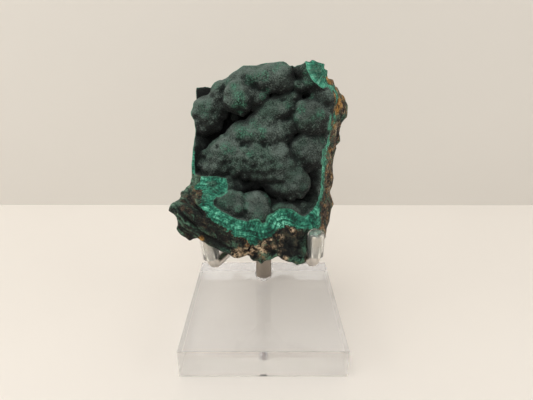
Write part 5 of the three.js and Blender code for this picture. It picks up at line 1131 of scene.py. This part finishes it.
def acrylic():
    k = Mat("clear_acrylic")
    P = k.coords()
    wave = k.noise(P, 0.05, 2.0, 0.5)
    scuff = k.noise(k.vmath("MULTIPLY", P, (0.7, 2.6, 1.0)), 0.9, 4.0, 0.65)
    dust = k.noise(P, 2.6, 1.0, 0.4)
    r = k.math("ADD", k.step(scuff, 0.60, 0.72, 0.0, 0.05), k.step(dust, 0.72, 0.80, 0.0, 0.10))
    # the drilled hole's wall is left matt by the drill
    off = k.vmath("MULTIPLY", k.vmath("SUBTRACT", P, (float(POST[0]), float(POST[1]), 0.0)), (1.0, 1.0, 0.0))
    sep = k.node("ShaderNodeSeparateXYZ")
    k.put(sep.inputs[0], P)
    hole = k.math("MULTIPLY", k.step(k.vmath("LENGTH", off), 3.45, 3.40), k.math("MULTIPLY", k.step(sep.outputs[2], 1.5, 2.0), k.step(sep.outputs[2], float(B_HI[2]) - 0.05, float(B_HI[2]) - 0.12)))
    r = k.math("ADD", r, k.math("MULTIPLY", hole, k.step(scuff, 0.3, 0.7, 0.10, 0.24)))
    normal = k.bump(wave, 0.05, 0.0004)
    # the lower edges of the block are left a little dull by the saw
    rim = k.math("MAXIMUM", k.math("ABSOLUTE", sep.outputs[0], 0.0), k.math("ABSOLUTE", sep.outputs[1], 0.0))
    r = k.math("ADD", r, k.math("MULTIPLY", k.math("MULTIPLY", k.step(rim, 25.30, 25.36), k.step(sep.outputs[2], 0.75, 0.50)), 0.09))
    # a pinkish grey tint on the narrow hole under the seat: painted darkening that stands in for the steel stud's image
    # seen through the block
    bore = k.math("MULTIPLY", k.step(k.vmath("LENGTH", off), 1.75, 1.70), k.math("MULTIPLY", k.step(sep.outputs[2], 3.90, 4.05), k.step(sep.outputs[2], float(B_HI[2]) - 0.9, float(B_HI[2]) - 1.1)))
    clear = k.mix(bore, (255, 255, 255), (190, 178, 180))
    glass = k.principled(Base_Color=clear, Transmission_Weight=0.96, IOR=1.49, Roughness=r, Normal=normal)
    return k.done(lamps_through(k, glass, (201, 202, 205)))


def dress(ob, mat, body="root", node=None):
    ob.data.materials.clear()
    ob.data.materials.append(mat)
    if node:
        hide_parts(node)
    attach(ob, body)


# ------------------------------------------------------------------ build
stone = build_stone()
dress(stone, stone_material(), node="malachite_specimen")

post_steel = steel("brushed_post_steel", (150, 139, 127), 0.42, 0.10)
rod_steel = steel("polished_rod_steel", (206, 200, 193), 0.30, 0.08, False)
vinyl = clear_vinyl()

R = POST_R
z0, z1 = P_LO[2], P_HI[2]
shoulder, stud = B_HI[2] - 1.02, 1.28
thread = []
for i in range(1, int((shoulder - z0 - 0.4) / 0.5)):            # cut thread on the stud
    h = z0 + 0.35 + i * 0.5
    thread += [(stud - 0.22, h - 0.25), (stud, h)]
prof = [(0.01, z0), (stud - 0.5, z0), (stud - 0.22, z0 + 0.3)] + thread + [(stud - 0.2, shoulder), (R - 0.25, shoulder), (R - 0.02, shoulder + 0.22), (R - 0.02, z1 - 0.45), (R - 0.14, z1 - 0.2), (R - 0.45, z1 - 0.02), (2.0, z1 - 0.02), (1.75, z1 - 0.3), (1.75, z1 - 2.6), (0.01, z1 - 2.6)]
verts, faces = lathe(prof, 96, (POST[0], POST[1], 0), (0, 0, 1))
post = new_object("stand_post", verts, faces)
sharp_edges(post)
dress(post, post_steel, node="post")

for name, arm, node, bend in (("arm_left", ARM_L, "arm_front_left", 2.4), ("arm_right", ARM_R, "arm_front_right", 2.4), ("arm_back", ARM_K, "arm_rear", 8.0)):
    verts, faces = tube(bent(arm, bend), ROD_R - 0.02, 40)
    ob = new_object("stand_" + name, verts, faces)
    sharp_edges(ob)
    dress(ob, rod_steel, node=node)

for name, arm, zf, zt, node in (("left", ARM_L, SL_LO[2] + 0.31, SL_HI[2] + 0.05, "sleeve_front_left"), ("right", ARM_R, SR_LO[2], SR_HI[2], "sleeve_front_right"), ("back", ARM_K, 44.0, 57.6, "sleeve_rear")):
    foot, tip = along(arm, zf), along(arm, zt)
    axis = tip - foot
    L = float(np.linalg.norm(axis)) - 0.03
    Rr, r, top = SLEEVE_R - 0.02, 1.60, 1.5
    dome = [(Rr * math.cos(t * math.pi / 24), L - Rr * 0.8 + Rr * 0.8 * math.sin(t * math.pi / 24)) for t in range(12)]
    prof = [(r, 0.15), (r + 0.12, 0.02), (Rr - 0.2, 0.02), (Rr, 0.22)] + dome + [(0.01, L), (0.01, L - top)] + [(r * math.cos(t * math.pi / 16), L - top - 0.55 + 0.55 * math.sin(t * math.pi / 16)) for t in range(7, -1, -1)] + [(r, 0.15)]
    verts, faces = lathe(prof, 64, foot, axis / np.linalg.norm(axis))
    ob = new_object("clear_sleeve_" + name, verts, faces)
    dress(ob, vinyl, node=node)

def clear_block(seat=3.3, seat_z=8.2, hole=1.5, hole_z=3.8, R=0.06):
    """The block with its shallow seat and blind hole, its outer edges and corners just rounded."""
    cx, cy = float(POST[0]), float(POST[1])
    (x0, y0, bot), (x1, y1, top) = [float(c) for c in B_LO], [float(c) for c in B_HI]
    line = []                                       # outline: x, y and the way out
    for i in range(128):
        t = 2 * math.pi * (i + 0.5) / 128
        u, v = math.cos(t), math.sin(t)
        sx = (x1 - cx if u > 0 else x0 - cx) / u if abs(u) > 1e-9 else 1e9
        sy = (y1 - cy if v > 0 else y0 - cy) / v if abs(v) > 1e-9 else 1e9
        x, y = cx + u * min(sx, sy), cy + v * min(sx, sy)
        if min(abs(x - x0), abs(x - x1)) < R + 0.3 and min(abs(y - y0), abs(y - y1)) < R + 0.3:
            continue
        line.append((x, y, *((math.copysign(1, u), 0) if sx < sy else (0, math.copysign(1, v)))))
    for qx, qy, a0 in ((x1 - R, y1 - R, 0), (x0 + R, y1 - R, 90), (x0 + R, y0 + R, 180), (x1 - R, y0 + R, 270)):
        for j in range(5):
            w = math.radians(a0 + 22.5 * j)
            line.append((qx + R * math.cos(w), qy + R * math.sin(w), math.cos(w), math.sin(w)))
    line.sort(key=lambda q: math.atan2(q[1] - cy, q[0] - cx))
    turn = [math.atan2(q[1] - cy, q[0] - cx) for q in line]
    out = lambda d, z: [(q[0] - q[2] * d, q[1] - q[3] * d, z) for q in line]
    ring = lambda r, z: [(cx + r * math.cos(t), cy + r * math.sin(t), z) for t in turn]
    flat = 2 * math.pi / 32
    chord = lambda t: hole * math.cos(flat / 2) / math.cos(t % flat - flat / 2)
    bored = lambda z: [(cx + chord(t) * math.cos(t), cy + chord(t) * math.sin(t), z) for t in turn]
    steps = [math.radians(22.5 * j) for j in range(5)]
    rings = [out(R * (1 - math.sin(t)), bot + R * (1 - math.cos(t))) for t in steps]
    rings += [out(R * (1 - math.sin(t)), top - R * (1 - math.cos(t))) for t in reversed(steps)]
    rings += [ring(seat + 0.12, top), ring(seat, top - 0.12), ring(seat, seat_z), bored(seat_z), bored(hole_z)]
    n = len(line)
    verts = [tuple(c * MM for c in p) for r in rings for p in r]
    faces = [(j * n + i, j * n + (i + 1) % n, (j + 1) * n + (i + 1) % n, (j + 1) * n + i) for j in range(len(rings) - 1) for i in range(n)]
    faces += [tuple(range(n)), tuple((len(rings) - 1) * n + i for i in range(n))]
    ob = new_object("clear_block", verts, faces, smooth=False)
    for f in ob.data.polygons:                      # only the seat's wall is shaded round
        far = math.hypot(f.center[0] / MM - cx, f.center[1] / MM - cy)
        f.use_smooth = hole + 0.1 < far < seat + 0.01 and abs(f.normal[2]) < 0.1
    sharp_edges(ob)
    return ob


dress(clear_block(), acrylic(), node="acrylic_base")

# ------------------------------------------------------------------ plain floor, plain wall, soft light
def plain(name, colour, one_sided=False):
    k = Mat(name)
    P = k.coords()
    n = k.noise(P, 0.004, 2.0, 0.5)
    c = k.mix(k.step(n, 0.3, 0.7, 0.0, 0.25), tuple(colour), tuple(int(v * 0.985) for v in colour))
    bsdf = k.principled(Base_Color=c, Roughness=0.62, Specular_IOR_Level=0.25)
    if not one_sided:
        return k.done(bsdf)
    geo = k.node("ShaderNodeNewGeometry")
    tr = k.node("ShaderNodeBsdfTransparent")
    mx = k.node("ShaderNodeMixShader")
    k.put(mx.inputs[0], geo.outputs["Backfacing"])
    k.put(mx.inputs[1], bsdf.outputs[0])
    k.put(mx.inputs[2], tr.outputs[0])
    return k.done(mx)


FLOOR_BACK = 0.112
bpy.ops.mesh.primitive_plane_add(size=1)
floor = bpy.context.object
floor.name = "floor"
floor.scale = (1.6, 1.6, 1)
floor.location = (0, 0, -0.00012)
floor.data.materials.append(plain("floor_paper", (236, 230, 222)))
bpy.ops.mesh.primitive_plane_add(size=1)
wall = bpy.context.object
wall.name = "wall"
wall.scale = (1.6, 0.6, 1)
wall.rotation_euler = (math.radians(90), 0, 0)
wall.location = (0, FLOOR_BACK, 0.29)
wall.data.materials.append(plain("wall_paper", (214, 209, 201), True))


def area(name, loc, target, size, power, colour):
    d = bpy.data.lights.new(name, "AREA")
    d.shape = "RECTANGLE"
    d.size, d.size_y = size
    d.energy = power
    d.color = colour
    o = bpy.data.objects.new(name, d)
    bpy.context.scene.collection.objects.link(o)
    o.location = loc
    o.rotation_euler = (Vector(target) - Vector(loc)).to_track_quat("-Z", "Y").to_euler()
    return o


area("over", (-0.20, -0.10, 0.66), (0, 0, 0.05), (0.34, 0.30), 0.55, (1.0, 0.99, 0.97))
area("left", (-0.78, -0.30, 0.42), (0, 0, 0.03), (0.60, 0.40), 2.0, (1.0, 0.99, 0.97))
area("right", (0.78, -0.30, 0.42), (0, 0, 0.03), (0.60, 0.40), 1.5, (1.0, 0.99, 0.97))
area("front", (-0.14, -0.70, 0.76), (0, 0, 0.03), (0.90, 0.66), 3.55, (1.0, 0.99, 0.97))
world = bpy.data.worlds.new("room")
bpy.context.scene.world = world
world.use_nodes = True
bg = world.node_tree.nodes["Background"]
bg.inputs[0].default_value = (1.0, 0.985, 0.965, 1.0)
bg.inputs[1].default_value = 0.52

cam = bpy.data.objects.new("camera", bpy.data.cameras.new("camera"))
bpy.context.scene.collection.objects.link(cam)
m = Matrix((Vector(AX_R).normalized(), Vector(AX_U).normalized(), -Vector(AX_F).normalized())).transposed()
cam.matrix_world = Matrix.Translation(Vector(EYE) * MM) @ m.to_4x4()
cam.data.lens, cam.data.sensor_width = 26.33, 36.0
cam.data.clip_start, cam.data.clip_end = 0.005, 10
bpy.context.scene.camera = cam
view = bpy.context.scene.view_settings
view.view_transform = "Standard"
view.look = "None"
view.exposure, view.gamma = 0.0, 1.0
